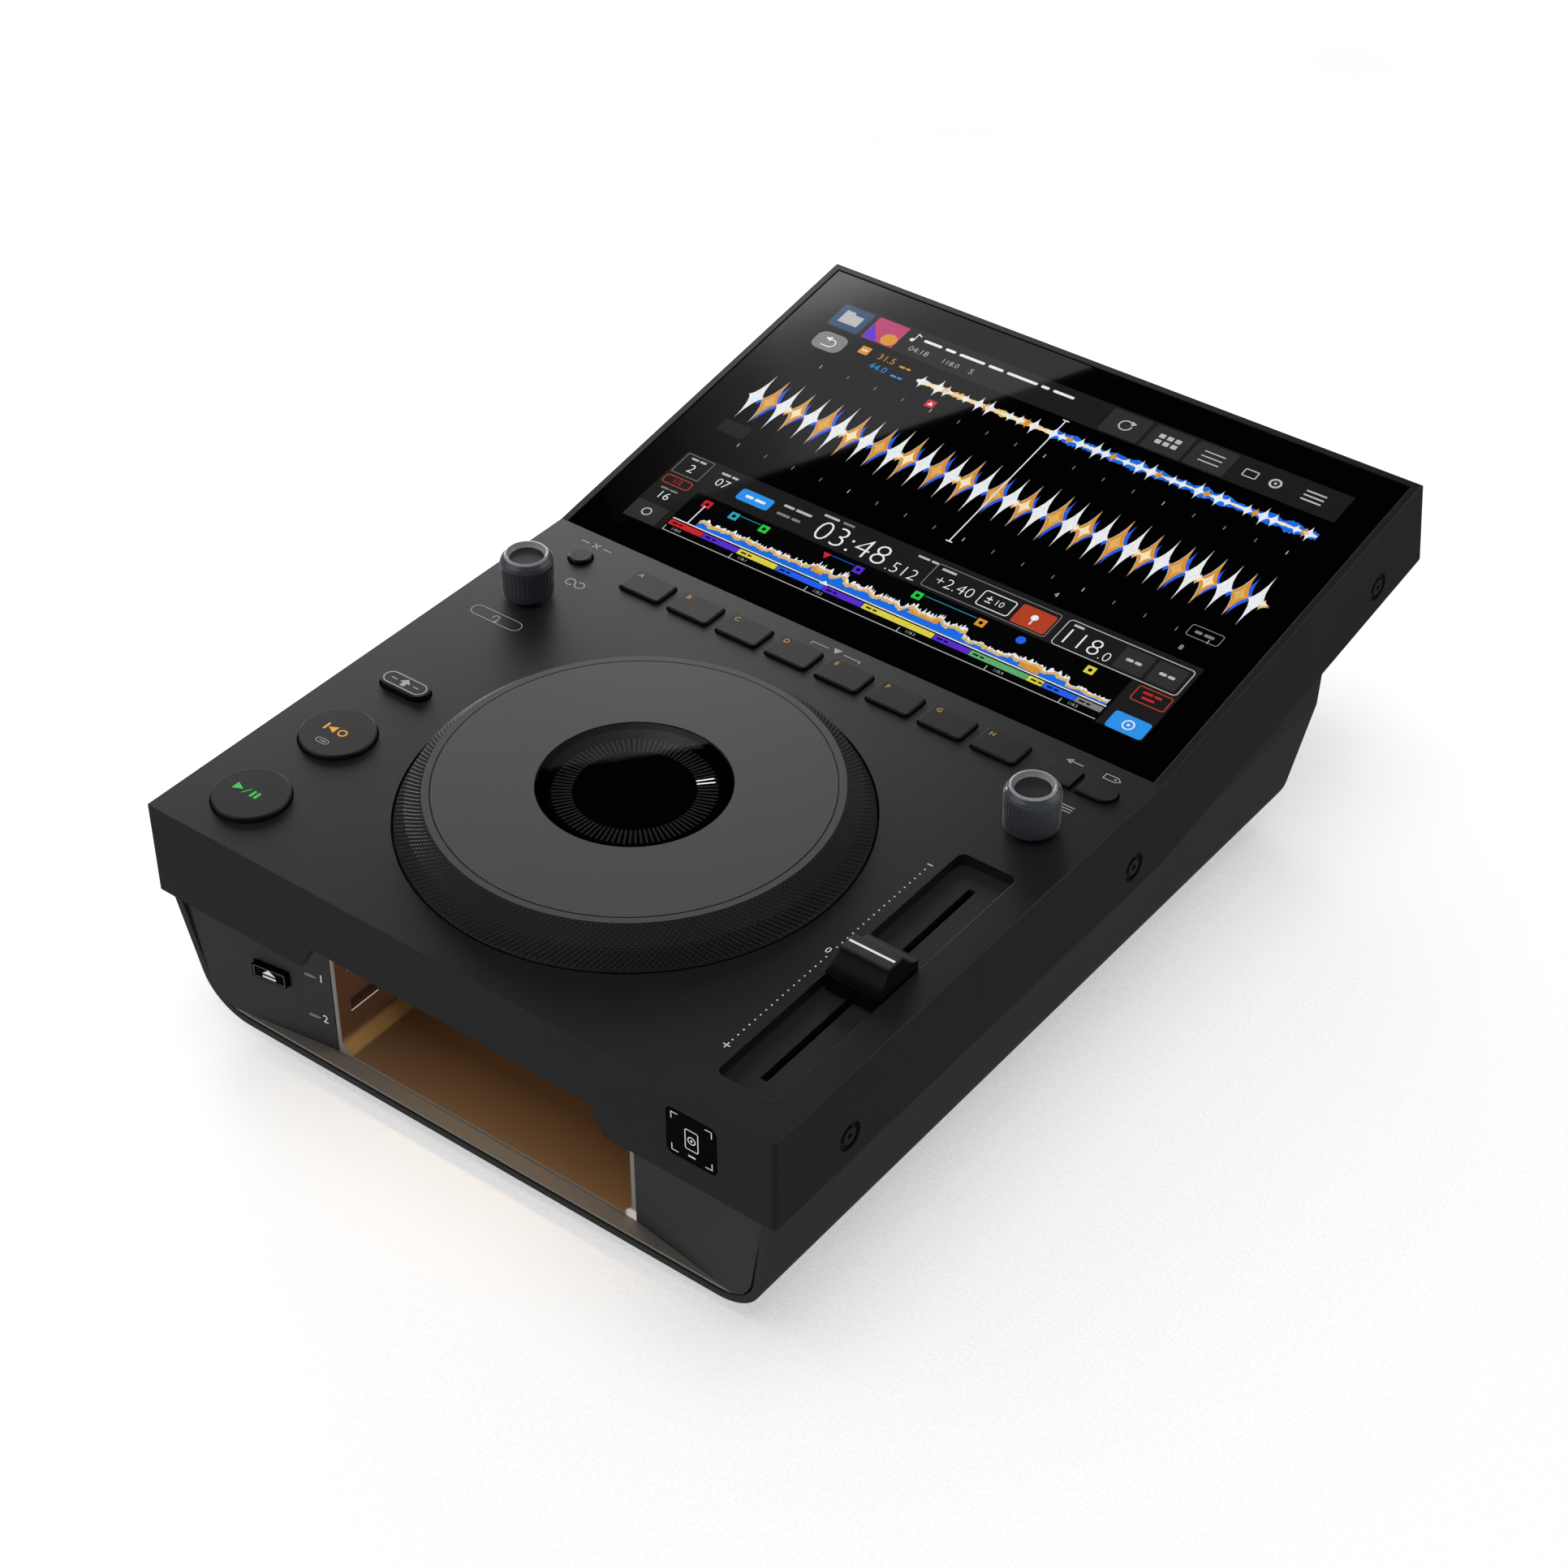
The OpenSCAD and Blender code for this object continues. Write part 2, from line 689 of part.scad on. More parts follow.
module front_panel() {
  rim = front_y(floor_z) + fit;
  color("#303133") difference() {
    intersection() {
      in_frame() union() {
        translate([0, 0, floor_z]) linear_extrude(height = panel_z - floor_z) {
          wing_plan(1);
          wing_plan(-1);
        }
        box(-wing_x0 - 1, wing_x0 + 1, mouth_y, mouth_y + panel_t, bay_top_z + liner_t + 0.2, panel_z);
        translate([0, 0, floor_z]) linear_extrude(height = ledge_z - floor_z)
          polygon([[-wing_end, rim], [wing_end, rim], [wing_end, wing_at(wing_end) + 1],
            [wing_x0, wing_at(wing_x0) + 1], [wing_x0, mouth_y], [-wing_x0, mouth_y],
            [-wing_x0, wing_at(wing_x0) + 1], [-wing_end, wing_at(wing_end) + 1]]);
      }
      in_frame() case_section(case_wall + seam, split_z + 70);
      in_frame() box(-half_w, half_w, skin_t + 0.6, 60, floor_z, deck_z);
    }
    on_wing() translate([-eject_s, 10, eject_up]) rotate([90, 0, 0]) linear_extrude(height = 20)
      rr(eject_w + 2 * key_gap, eject_h + 2 * key_gap, 0.8);
  }
}

module usb_bay_liner() {
  hw = bay_w / 2;
  oy = port_l / 2 + port_t + 0.1;
  oz = port_h / 2 + port_t + 0.1;
  color("#d98a1e") in_frame() difference() {
    box(-liner_hw, liner_hw, mouth_y, mouth_y + bay_d + liner_t, bay_floor_z - liner_t,
      bay_top_z + liner_t);
    translate([0, mouth_y + bay_d, 0]) rotate([90, 0, 0]) linear_extrude(height = bay_d + 5)
      polygon([[-hw, bay_top_z], [-hw, bay_floor_z + bay_c], [bay_c - hw, bay_floor_z],
        [hw - bay_c, bay_floor_z], [hw, bay_floor_z + bay_c], [hw, bay_top_z]]);
    for (z = port_zs) {
      translate([-hw, mouth_y + port_y, bay_floor_z + z]) cube([10, 2 * oy, 2 * oz], center = true);
    }
    translate([0, mouth_y + 14, bay_top_z]) cube([100.4, 6.4, 10], center = true);
  }
}

module bay_light_bar() {
  color("#f4e2b8") in_frame() {
    translate([0, mouth_y + 14, bay_top_z + 1.1]) cube([100, 6, 1.8], center = true);
    translate([0, mouth_y + 14, bay_top_z + 2.8]) cube([104, 10, 1.6], center = true);
  }
}

module usb_ports() {
  w = port_l + 2 * port_t;
  h = port_h + 2 * port_t;
  color("#b9bcc0") in_frame() {
    for (z = port_zs) {
      translate([-bay_w / 2, mouth_y + port_y, bay_floor_z + z]) union() {
        difference() {
          translate([-port_d / 2, 0, 0]) cube([port_d, w, h], center = true);
          translate([-port_d / 2 + 1, 0, 0]) cube([port_d, port_l, port_h], center = true);
        }
        translate([-port_d + 5, 0, -0.8]) cube([9, 11.2, 1.9], center = true);
      }
    }
  }
}

module bay_board() {
  x0 = -bay_w / 2 - port_d;
  color("#1f5a36") union() {
    in_frame() box(x0 - board_t, x0, mouth_y + 4.4, mouth_y + 34, 14, split_z);
    on_wing() box(-34, -13.4, 12, 12 + board_t, eject_up - 9, eject_up + 9);
    on_wing() box(-eject_s - 3, -eject_s + 3, 12 - switch_h, 12.4, eject_up - 3, eject_up + 3);
    on_wing() translate([-eject_s, 12.4, eject_up]) rotate([90, 0, 0])
      cylinder(r = 1.7, h = switch_h + switch_pin + 0.4);
  }
}

module eject_button() {
  stem = 12 - switch_h - switch_pin - key_travel - fit;
  color("#0c0c0d") on_wing() translate([-eject_s, 0, eject_up]) rotate([90, 0, 0]) {
    translate([0, 0, -panel_t - fit - 0.4]) linear_extrude(height = panel_t + fit + 0.4 + eject_rise)
      rr(eject_w, eject_h, 0.6);
    translate([0, 0, -panel_t - fit - 1.2]) linear_extrude(height = 1.2)
      rr(eject_w + 2, eject_h + 2, 0.6);
    translate([0, 0, -stem]) cylinder(r = stem_r, h = stem - panel_t);
  }
}

module nfc_window() {
  color("#08080a") in_frame() translate([window_x, skin_t + 1.2, deck_z - window_down])
    rotate([90, 0, 0]) {
      linear_extrude(height = 1.2) rr(window_w + 4, window_w + 4, 1.5);
      translate([0, 0, 1]) linear_extrude(height = skin_t) rr(window_w, window_w, 2.5);
    }
}

// ---- Screen ----

module touch_glass() {
  color("#101114") on_slope() box(-half_w + bezel_w + glass_gap, half_w - bezel_w - glass_gap,
    glass_gap, glass_u1 - glass_gap, glass_n, -glass_sink);
}

module lcd_panel() {
  color("#202024") on_slope() box(-lcd_w / 2, lcd_w / 2, lcd_u - lcd_h / 2, lcd_u + lcd_h / 2,
    lcd_n, glass_n);
}

module lcd_bracket() {
  color("#9a9c9f") on_slope() difference() {
    union() {
      box(4.5 - half_w, half_w - 4.5, 11, screen_l - 7, lcd_n - bracket_t, lcd_n);
      for (i = [-1, 1]) {
        for (u = [52, 108]) {
          translate([i * 56, u, 0]) disc(2.8, lcd_n - bracket_t - 3.5, lcd_n - 0.5);
        }
      }
    }
    for (i = [-1, 1]) {
      for (u = [16, screen_l - 12]) {
        translate([i * (half_w - 7.2), u, -20]) cylinder(r = 1.4, h = 30);
      }
      translate([i * 80, lcd_u, -20]) linear_extrude(height = 30) rr(30, 90, 6);
    }
  }
}

module display_board() {
  n = lcd_n - bracket_t - 3.5;
  color("#1f5a36") on_slope() union() {
    box(-62, 62, 46, 114, n - board_t, n);
    box(-30, -12, 70, 88, n - board_t - 1.6, n - board_t + 0.2);
    box(8, 40, 74, 84, n - board_t - 3, n - board_t + 0.2);
    box(-56, -40, 98, 108, n - board_t - 4, n - board_t + 0.2);
  }
}

// ---- Jog wheel ----

module at_jog() {
  at_deck(0, jog_y) children();
}

module jog_top_plate() {
  color("#55575a") at_jog() ring(jog_hole_r, jog_disc_r, disc_z, jog_h);
}

module jog_knurled_ring() {
  r1 = jog_disc_r + 0.3;
  r2 = jog_disc_r - 2.6;
  mid_r = (jog_r + jog_top_r) / 2 + 1.2;
  mid_z = jog_h * 0.56;
  color("#1b1b1d") at_jog() rotate_extrude()
    polygon([[r1, jog_h], [jog_top_r, jog_h], [mid_r, mid_z], [jog_r, 0], [jog_r, -3.6],
      [jog_r - ring_t, -3.6], [jog_r - ring_t, -0.6], [mid_r - ring_t - 0.4, mid_z - 1.2],
      [jog_top_r - 0.8, web_z], [r2, web_z], [r2, disc_z], [r1, disc_z]]);
}

module jog_hub() {
  color("#2b2c2e") at_jog() difference() {
    union() {
      ring(well_r, jog_disc_r, web_z - web_t, web_z);
      ring(well_r, well_r + 2, well_z, disc_z);
      ring(14.4, well_r + 2, well_z, well_z + 2);
      ring(bearing_r + 0.05, 21, well_z - 3.2, well_z + 1);
      ring(bearing_r + 0.05, 18.8, bearing_z, well_z);
    }
    for (a = [0:60:300]) {
      rotate([0, 0, a]) translate([48, 0, web_z - 10]) cylinder(r = 8, h = 20);
    }
  }
}

module jog_bearing_outer() {
  z0 = bearing_z;
  z1 = well_z;
  color("#c9ccd0") at_jog() union() {
    ring(14.1, bearing_r, z0, z1);
    ring(12.7, 14.3, z0 + 0.3, z0 + 0.9);
    ring(12.7, 14.3, z1 - 0.9, z1 - 0.3);
  }
}

module jog_bearing_inner() {
  color("#c9ccd0") at_jog() ring(post_r + 0.05, 12.1, bearing_z, well_z);
}

module jog_post() {
  color("#8e9093") at_jog() difference() {
    union() {
      disc(18, base_z, base_z + 1);
      disc(11.4, base_z, bearing_z);
      disc(post_r, base_z, 1);
    }
    disc(post_bore_r, base_z - 1, 5);
  }
}

module jog_base_plate() {
  color("#6d6f72") at_jog() difference() {
    union() {
      ring(jog_case_r, jog_case_r + jog_case_t, base_z - 2, jog_flange_z + 2);
      ring(post_bore_r + 1, jog_case_r + jog_case_t, base_z - 2, base_z);
      for (a = jog_screw_a) {
        rotate([0, 0, a]) translate([jog_screw_r, 0, jog_flange_z]) cylinder(r = 4, h = 2);
      }
    }
    for (a = jog_screw_a) {
      rotate([0, 0, a]) translate([jog_screw_r, 0, -20]) cylinder(r = 1.6, h = 20);
    }
  }
}

module jog_display_cup() {
  color("#101012") at_jog() difference() {
    union() {
      disc(lens_r, 1, disc_z);
      disc(11.4, well_z, 1.5);
    }
    disc(lens_r - 1.6, 2.6, disc_z + 1);
    disc(post_r + 0.05, well_z - 1, 1);
    disc(post_bore_r, 0, 4);
  }
}

module jog_display_lens() {
  color("#15161a") at_jog() disc(lens_r, disc_z, jog_h - 0.2);
}

module jog_display_board() {
  color("#17181b") at_jog() union() {
    disc(lens_r - 2.2, 2.6, 4.2);
    disc(27.4, 4, jog_h - 3.7);
  }
}

module jog_encoder_disc() {
  z1 = well_z - 3.2;
  color("#4c4f54") at_jog() difference() {
    ring(18.95, 38, z1 - 0.6, z1);
    for (i = [0:disc_slots - 1]) {
      rotate([0, 0, i * 360 / disc_slots]) translate([34.5, 0, z1]) cube([4, 2.2, 4], center = true);
    }
  }
}

module jog_encoder_sensor() {
  mid = well_z - 3.5;
  color("#161616") at_jog() rotate([0, 0, 90]) difference() {
    box(31.5, 43, -4, 4, base_z, well_z - 0.8);
    box(30, 39.2, -5, 5, mid - 1.3, mid + 1.3);
  }
}

// ---- Buttons ----

// Round button: cap, flange under the deck, stem above its switch
module round_key(d, rise) {
  disc(d / 2, flange_top - 0.2, rise - key_edge);
  translate([0, 0, rise - key_edge]) cylinder(r1 = d / 2, r2 = d / 2 - key_edge, h = key_edge);
  disc(d / 2 + flange_out, flange_top - flange_t, flange_top);
  disc(stem_r, stem_end, flange_top);
}

// Section of a cap of half width h, its upper corners broken by c
function broken_top(h, rise, c) = [[-h, -20], [h, -20], [h, rise - c], [h - c, rise],
  [c - h, rise], [-h, rise - c]];

// Cap with a plan outline, its upper edges broken along both directions
module plan_key(w, d, rise) {
  c = key_edge;
  intersection() {
    translate([0, 0, flange_top - 0.2]) linear_extrude(height = rise - flange_top + 0.2) children();
    rotate([90, 0, 0]) linear_extrude(height = 100, center = true) polygon(broken_top(w / 2, rise, c));
    side_view(100, broken_top(d / 2, rise, c));
  }
  disc(stem_r, stem_end, flange_top);
}

module play_button() {
  color("#2a3a2c") at_deck(-key_x, play_y) round_key(round_d, round_rise);
}

module cue_button() {
  color("#3a2f26") at_deck(-key_x, cue_y) round_key(round_d, round_rise);
}

module delete_button() {
  color("#333436") at_deck(-knob_x, row_y) round_key(delete_d, round_rise - 0.3);
}

module shift_button() {
  color("#2c2d2f") at_deck(-key_x, shift_y) union() {
    plan_key(shift_l, shift_w, shift_rise) pill(shift_l, shift_w);
    translate([0, 0, flange_top - flange_t]) linear_extrude(height = flange_t)
      pill(shift_l + 2 * flange_out, shift_w + 2 * flange_out);
  }
}

module pad(i) {
  color("#5d6063") at_deck(pads[i] * pad_pitch, row_y) union() {
    plan_key(pad_w, pad_d, pad_rise) rr(pad_w, pad_d, 1.6);
    translate([0, 0, flange_top - flange_t]) linear_extrude(height = flange_t)
      rr(pad_w + 2 * flange_out, pad_d + 2 * flange_out, 1.6);
  }
}

module pad_a() { pad(0); }
module pad_b() { pad(1); }
module pad_c() { pad(2); }
module pad_d() { pad(3); }
module pad_e() { pad(4); }
module pad_f() { pad(5); }
module pad_g() { pad(6); }
module pad_h() { pad(7); }

// Half of the pill shaped pair, s = -1 left, 1 right
module half_pill(s) {
  side = pill_bar / 2 + key_gap;
  mid = pill_bar / 4 + pill_l / 4 + 1;
  at_deck(knob_x, row_y) union() {
    intersection() {
      translate([0, 0, flange_top - 0.2]) linear_extrude(height = pad_rise - flange_top + 0.2)
        pill(pill_l, pill_w);
      box(min(s * side, s * 40), max(s * side, s * 40), -20, 20, -20, 20);
      side_view(100, broken_top(pill_w / 2, pad_rise, key_edge));
    }
    intersection() {
      translate([0, 0, flange_top - flange_t]) linear_extrude(height = flange_t)
        pill(pill_l + 2 * flange_out, pill_w + 2 * flange_out);
      box(min(s * (side - 0.2), s * 40), max(s * (side - 0.2), s * 40), -20, 20, -20, 20);
    }
    translate([s * mid, 0, 0]) disc(stem_r, stem_end, flange_top - 0.5);
  }
}

module back_button() {
  color("#4e5053") half_pill(-1);
}

module tag_button() {
  color("#4e5053") half_pill(1);
}

// ---- Knobs ----

module knob() {
  r = knob_d / 2;
  z0 = knob_lift;
  z1 = knob_h;
  color("#2b2b2e") difference() {
    rotate_extrude() polygon([[0, z0 + 0.1], [r - 0.4, z0 + 0.1], [r, z0 + 0.6], [r, z1 - 3.4],
      [knob_rim_r + 0.5, z1], [knob_rim_r - 0.6, z1], [knob_rim_r - 1.6, z1 - knob_dish],
      [0, z1 - knob_dish]]);
    disc(r - 1.8, z0 - 1, z0 + 3);
    disc(shaft_r + shaft_play, z0 - 1, z1 - knob_dish - 1.8);
  }
  color("#2b2b2e") ring(shaft_r + shaft_play, 5, z0 + 0.1, z0 + 3.5);
}

module plunger() {
  bottom = board_top + 2.2;
  color("#b4b6b9") union() {
    disc(shaft_r, bottom, knob_h - knob_dish - 2.1);
    disc(4.3, knob_lift - 0.9, knob_lift + 0.1);
  }
}

module encoder() {
  top = board_top + 6.5;
  color("#3f6b4a") difference() {
    union() {
      box(-6.3, 6.3, -6.6, 6.6, board_top, top);
      disc(4.3, top - 0.5, -1.2);
    }
    disc(shaft_r + shaft_play, board_top + 0.6, 5);
  }
}

module loop_knob() { at_deck(-knob_x, knob_y) knob(); }
module loop_plunger() { at_deck(-knob_x, knob_y) plunger(); }
module loop_encoder() { at_deck(-knob_x, knob_y) encoder(); }
module browse_knob() { at_deck(knob_x, knob_y) knob(); }
module browse_plunger() { at_deck(knob_x, knob_y) plunger(); }
module browse_encoder() { at_deck(knob_x, knob_y) encoder(); }

// ---- Tempo fader ----

module at_fader() {
  at_deck(fader_x, fader_y) children();
}

module fader_cap() {
  w = trough_w / 2 - 0.5;
  l = cap_l / 2;
  z0 = 0.6 - trough_t;
  t = cap_top_w / 2;
  color("#1c1c1e") at_fader() difference() {
    intersection() {
      translate([0, 0, z0]) linear_extrude(height = cap_h - z0) rr(2 * w, 2 * l, trough_r - 0.8);
      rotate([90, 0, 0]) linear_extrude(height = 40, center = true)
        polygon([[-w, z0], [w, z0], [w, 0], [t, cap_h], [-t, cap_h], [-w, 0]]);
    }
    for (i = [-1, 1]) {
      translate([0, i * (l + 0.9), cap_h + 3.4]) rotate([0, 90, 0])
        cylinder(r = 9.3, h = 60, center = true);
    }
    box(-w + 1.8, w - 1.8, -l + 1.8, l - 1.8, z0 - 1, z0 + 2.2);
    box(-0.9, 0.9, -lever_l / 2 - 0.1, lever_l / 2 + 0.1, z0 - 1, 3.2);
  }
}

module fader_lever() {
  color("#9c9ea1") at_fader() union() {
    box(-0.8, 0.8, -lever_l / 2, lever_l / 2, trough_bottom - 5, 3);
    box(-3.8, 3.8, -4, 4, trough_bottom - fader_body_h + 2, trough_bottom - 3);
  }
}

module fader_body() {
  z1 = trough_bottom;
  z0 = z1 - fader_body_h;
  hl = slot_l / 2 + 8.5;
  w = fader_body_w / 2;
  color("#7b7d80") at_fader() difference() {
    box(-w, w, -hl, hl, z0, z1);
    box(-w + 1, w - 1, -hl + 1, hl - 1, z0 + 1, z1 - 1);
    box(-slot_w / 2, slot_w / 2, -slot_l / 2, slot_l / 2, z0 + 3, z1 + 1);
  }
}

// ---- Boards, supply and sockets ----

module key_switch() {
  translate([-3, -3, board_top - 0.5]) cube([6, 6, switch_h + 0.5]);
  disc(1.7, board_top, board_top + switch_h + switch_pin);
}

module control_board() {
  mid = pill_bar / 4 + pill_l / 4 + 1;
  color("#1f5a36") union() {
    difference() {
      in_frame() translate([0, 0, deck_z + board_top - board_t]) linear_extrude(height = board_t)
        polygon([[-board_x1, 8], [-board_x0, 8], [-board_x0, jog_y + 58.9], [-60, jog_y + 78.9],
          [-30, row_y - 5.5], [30, row_y - 5.5], [60, jog_y + 78.9], [board_x0, jog_y + 58.9],
          [board_x0, knob_y - 12.5], [board_x1, knob_y - 12.5], [board_x1, deck_d - 2.5],
          [-board_x1, deck_d - 2.5]]);
      for (p = post_xy) {
        at_deck(p[0], p[1]) disc(1.4, -20, 0);
      }
    }
    at_deck(-key_x, play_y) key_switch();
    at_deck(-key_x, cue_y) key_switch();
    at_deck(-key_x, shift_y) key_switch();
    at_deck(-knob_x, row_y) key_switch();
    for (p = pads) {
      at_deck(p * pad_pitch, row_y) key_switch();
    }
    for (s = [-1, 1]) {
      at_deck(knob_x + s * mid, row_y) key_switch();
    }
  }
}

module main_board() {
  z0 = floor_z + standoff_h;
  color("#1f5a36") union() {
    difference() {
      in_frame() box(-92, 92, 74, 224, z0, z0 + board_t);
      board_places() translate([0, 0, standoff_h - 2]) cylinder(r = 1.7, h = 8);
    }
    in_frame() box(-22, 14, 120, 156, z0 + 1, z0 + 4);
    in_frame() box(-21, 13, 121, 155, z0 + 3.5, z0 + 14);
    in_frame() box(34, 48, 118, 132, z0 + 1, z0 + 2.8);
    in_frame() box(34, 48, 138, 152, z0 + 1, z0 + 2.8);
    in_frame() box(-70, -40, 196, 210, z0 + 1, z0 + 10);
  }
}

module power_supply() {
  color("#a9abad") in_frame() union() {
    box(supply_x, supply_x + 88, 226, 282, floor_z, floor_z + 30);
    for (i = [0:6]) {
      box(supply_x + 10 + i * 10, supply_x + 14 + i * 10, 234, 274, floor_z + 29, floor_z + 31);
    }
  }
}

module rear_cut(x, w, h) {
  translate([x, 0, -rear_down]) rotate([90, 0, 0]) linear_extrude(height = 30, center = true)
    square([w, h], center = true);
}

module rear_hole(x, r) {
  translate([x, 0, -rear_down]) rotate([90, 0, 0]) cylinder(r = r, h = 30, center = true);
}

module rear_panel() {
  color("#26272a") on_rear() difference() {
    translate([0, -case_wall - 0.02, -rear_down]) rotate([90, 0, 0]) linear_extrude(height = 1.48)
      rr(rear_w + 8, rear_h + 4, 3);
    rear_cut(68, 27.8, 20.6);
    rear_hole(36, power_d / 2 + 0.5);
    for (x = [-20, -36]) {
      rear_hole(x, 4.5);
    }
    rear_cut(-66, 16.4, 13.6);
  }
}

module power_inlet() {
  y1 = -case_wall;
  color("#121214") on_rear() translate([68, 0, -rear_down]) difference() {
    union() {
      box(-13.7, 13.7, y1 - 20, y1 + 0.5, -10, 10);
      box(-15.4, 15.4, y1, y1 + 1.6, -11.6, 11.6);
    }
    box(-12, 12, y1 - 16, y1 + 5, -8.2, 8.2);
  }
  color("#c9ccd0") on_rear() translate([68, 0, -rear_down]) {
    box(-1, 1, y1 - 17, y1 - 4, 0, 4);
    box(-8, -6, y1 - 17, y1 - 4, -4, 0);
    box(6, 8, y1 - 17, y1 - 4, -4, 0);
  }
}

module power_button() {
  y1 = -case_wall;
  color("#19191b") on_rear() translate([36, 0, -rear_down]) rotate([-90, 0, 0]) {
    disc(power_d / 2, y1 - 4.5, y1 + 2.6);
    disc(power_d / 2 + 1.2, y1 - 4.5, y1 - 1.5 - fit);
    disc(2.2, y1 - 9, y1 - 4);
  }
}

module rear_board() {
  y0 = -case_wall - 16;
  color("#1f5a36") on_rear() union() {
    box(-84, 50, y0 - board_t, y0, -rear_down - 16, -rear_down + 16);
    box(31, 41, y0 - 0.5, y0 + 3.6, -rear_down - 5, -rear_down + 5);
    translate([36, y0 - 0.5, -rear_down]) rotate([-90, 0, 0]) cylinder(r = 1.6, h = 6.6 - power_travel);
  }
}

module lan_port() {
  y0 = -case_wall - 16;
  y1 = -case_wall + 0.3;
  color("#b9bcc0") on_rear() translate([-66, 0, -rear_down]) difference() {
    box(-7.9, 7.9, y0, y1, -6.5, 6.5);
    box(-5.9, 5.9, y0 + 2, y1 + 1, -4, 4);
    box(-3, 3, y0 + 2, y1 + 1, 3, 5.6);
  }
}

module rca_jacks() {
  y0 = -case_wall - 16;
  color("#c9ccd0") on_rear() {
    for (x = [-20, -36]) {
      translate([x, 0, -rear_down]) difference() {
        union() {
          box(-5.5, 5.5, y0, -case_wall - 1.5, -6, 6);
          translate([0, y0 + 8, 0]) rotate([-90, 0, 0]) cylinder(r = 4.15, h = 17);
        }
        translate([0, y0 + 14, 0]) rotate([-90, 0, 0]) cylinder(r = 1.7, h = 20);
      }
    }
  }
}

top_case();
lower_case();
screen_rear_cover();
front_panel();
usb_bay_liner();
bay_light_bar();
rear_panel();
feet();
side_screws();
nfc_window();
touch_glass();
lcd_panel();
lcd_bracket();
display_board();
jog_top_plate();
jog_knurled_ring();
jog_hub();
jog_bearing_outer();
jog_bearing_inner();
jog_post();
jog_base_plate();
jog_display_cup();
jog_display_lens();
jog_display_board();
jog_encoder_disc();
jog_encoder_sensor();
play_button();
cue_button();
shift_button();
delete_button();
pad_a();
pad_b();
pad_c();
pad_d();
pad_e();
pad_f();
pad_g();
pad_h();
back_button();
tag_button();
eject_button();
loop_knob();
loop_plunger();
loop_encoder();
browse_knob();
browse_plunger();
browse_encoder();
fader_cap();
fader_lever();
fader_body();
control_board();
main_board();
usb_ports();
bay_board();
power_supply();
power_inlet();
rear_board();
lan_port();
rca_jacks();
power_button();
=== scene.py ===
import math
import random

import bpy
from mathutils import Matrix, Vector


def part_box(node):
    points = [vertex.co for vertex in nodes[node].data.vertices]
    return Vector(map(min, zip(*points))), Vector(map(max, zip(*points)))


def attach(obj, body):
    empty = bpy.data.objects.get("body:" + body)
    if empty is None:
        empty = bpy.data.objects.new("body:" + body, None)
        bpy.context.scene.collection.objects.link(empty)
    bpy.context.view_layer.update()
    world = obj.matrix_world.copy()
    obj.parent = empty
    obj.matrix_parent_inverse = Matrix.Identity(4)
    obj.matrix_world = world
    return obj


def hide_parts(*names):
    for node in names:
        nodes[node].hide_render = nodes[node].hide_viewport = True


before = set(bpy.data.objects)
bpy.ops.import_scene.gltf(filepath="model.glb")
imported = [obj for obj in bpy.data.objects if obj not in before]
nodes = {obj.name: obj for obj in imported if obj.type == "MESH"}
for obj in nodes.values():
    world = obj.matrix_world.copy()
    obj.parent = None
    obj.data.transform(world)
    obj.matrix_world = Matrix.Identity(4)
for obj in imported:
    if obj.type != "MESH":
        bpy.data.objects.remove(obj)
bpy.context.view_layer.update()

scene = bpy.context.scene
scene.view_settings.view_transform = "Standard"

# ---- Places, all in millimetres inside these frames ----
MM = 0.001
MILLI = Matrix.Scale(MM, 4)
CREASE = 201.5  # depth at which the screen housing rises from the level deck
TILT = math.radians(9.9)  # of the screen housing
BAY_HALF = 60.5  # half the width of the stick bay
MOUTH = 12.3  # depth of the bay's mouth behind the deck's front edge
WING_END = (112.0, 5.2)  # outer end of a wing beside the bay: how far out, and how deep
LEDGE = 9.5  # height of the ledge under the bay
PAD_RISE = 1.3  # of a pad above the deck
PRINT = 0.04  # thickness of a printed mark
PADS = "abcdefgh"
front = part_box("top_case")[0].y
deck_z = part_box("pad_a")[1].z - PAD_RISE * MM


def upright(angle):
    """Axes of a drawing on an upright face that looks to the front, turned by angle about Z."""
    c, s = math.cos(angle), math.sin(angle)
    return Matrix(((c, 0, s, 0), (s, 0, -c, 0), (0, 1, 0, 0), (0, 0, 0, 1)))


wing_turn = math.atan((MOUTH - WING_END[1]) / (WING_END[0] - BAY_HALF))
DECK = Matrix.Translation((0, front, deck_z)) @ MILLI
SLOPE = Matrix.Translation((0, front + CREASE * MM, deck_z)) @ Matrix.Rotation(TILT, 4, "X") @ MILLI
WING = Matrix.Translation((-BAY_HALF * MM, front + MOUTH * MM, LEDGE * MM)) @ upright(wing_turn) @ MILLI
SKIRT = Matrix.Translation((0, front, deck_z)) @ upright(0) @ MILLI


def centre(node):
    lo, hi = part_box(node)
    return (lo + hi) / 2


def local(node):
    """Middle of a node in the deck's frame, in millimetres."""
    return DECK.inverted() @ centre(node)


# ---- Nodes of materials ----
def link(nt, a, b):
    nt.links.new(a, b)


def put(n, **values):
    """Sets inputs of a node: Coat_Weight=0.5 sets the input Coat Weight."""
    for name, value in values.items():
        n.inputs[name.replace("_", " ")].default_value = value
    return n


def new(nt, kind, **values):
    return put(nt.nodes.new("ShaderNode" + kind), **values)


def coords(nt):
    return new(nt, "TexCoord").outputs["Object"]


def axes(nt):
    """X, Y and Z of a place on the surface, in metres."""
    n = new(nt, "SeparateXYZ")
    link(nt, coords(nt), n.inputs[0])
    return n.outputs


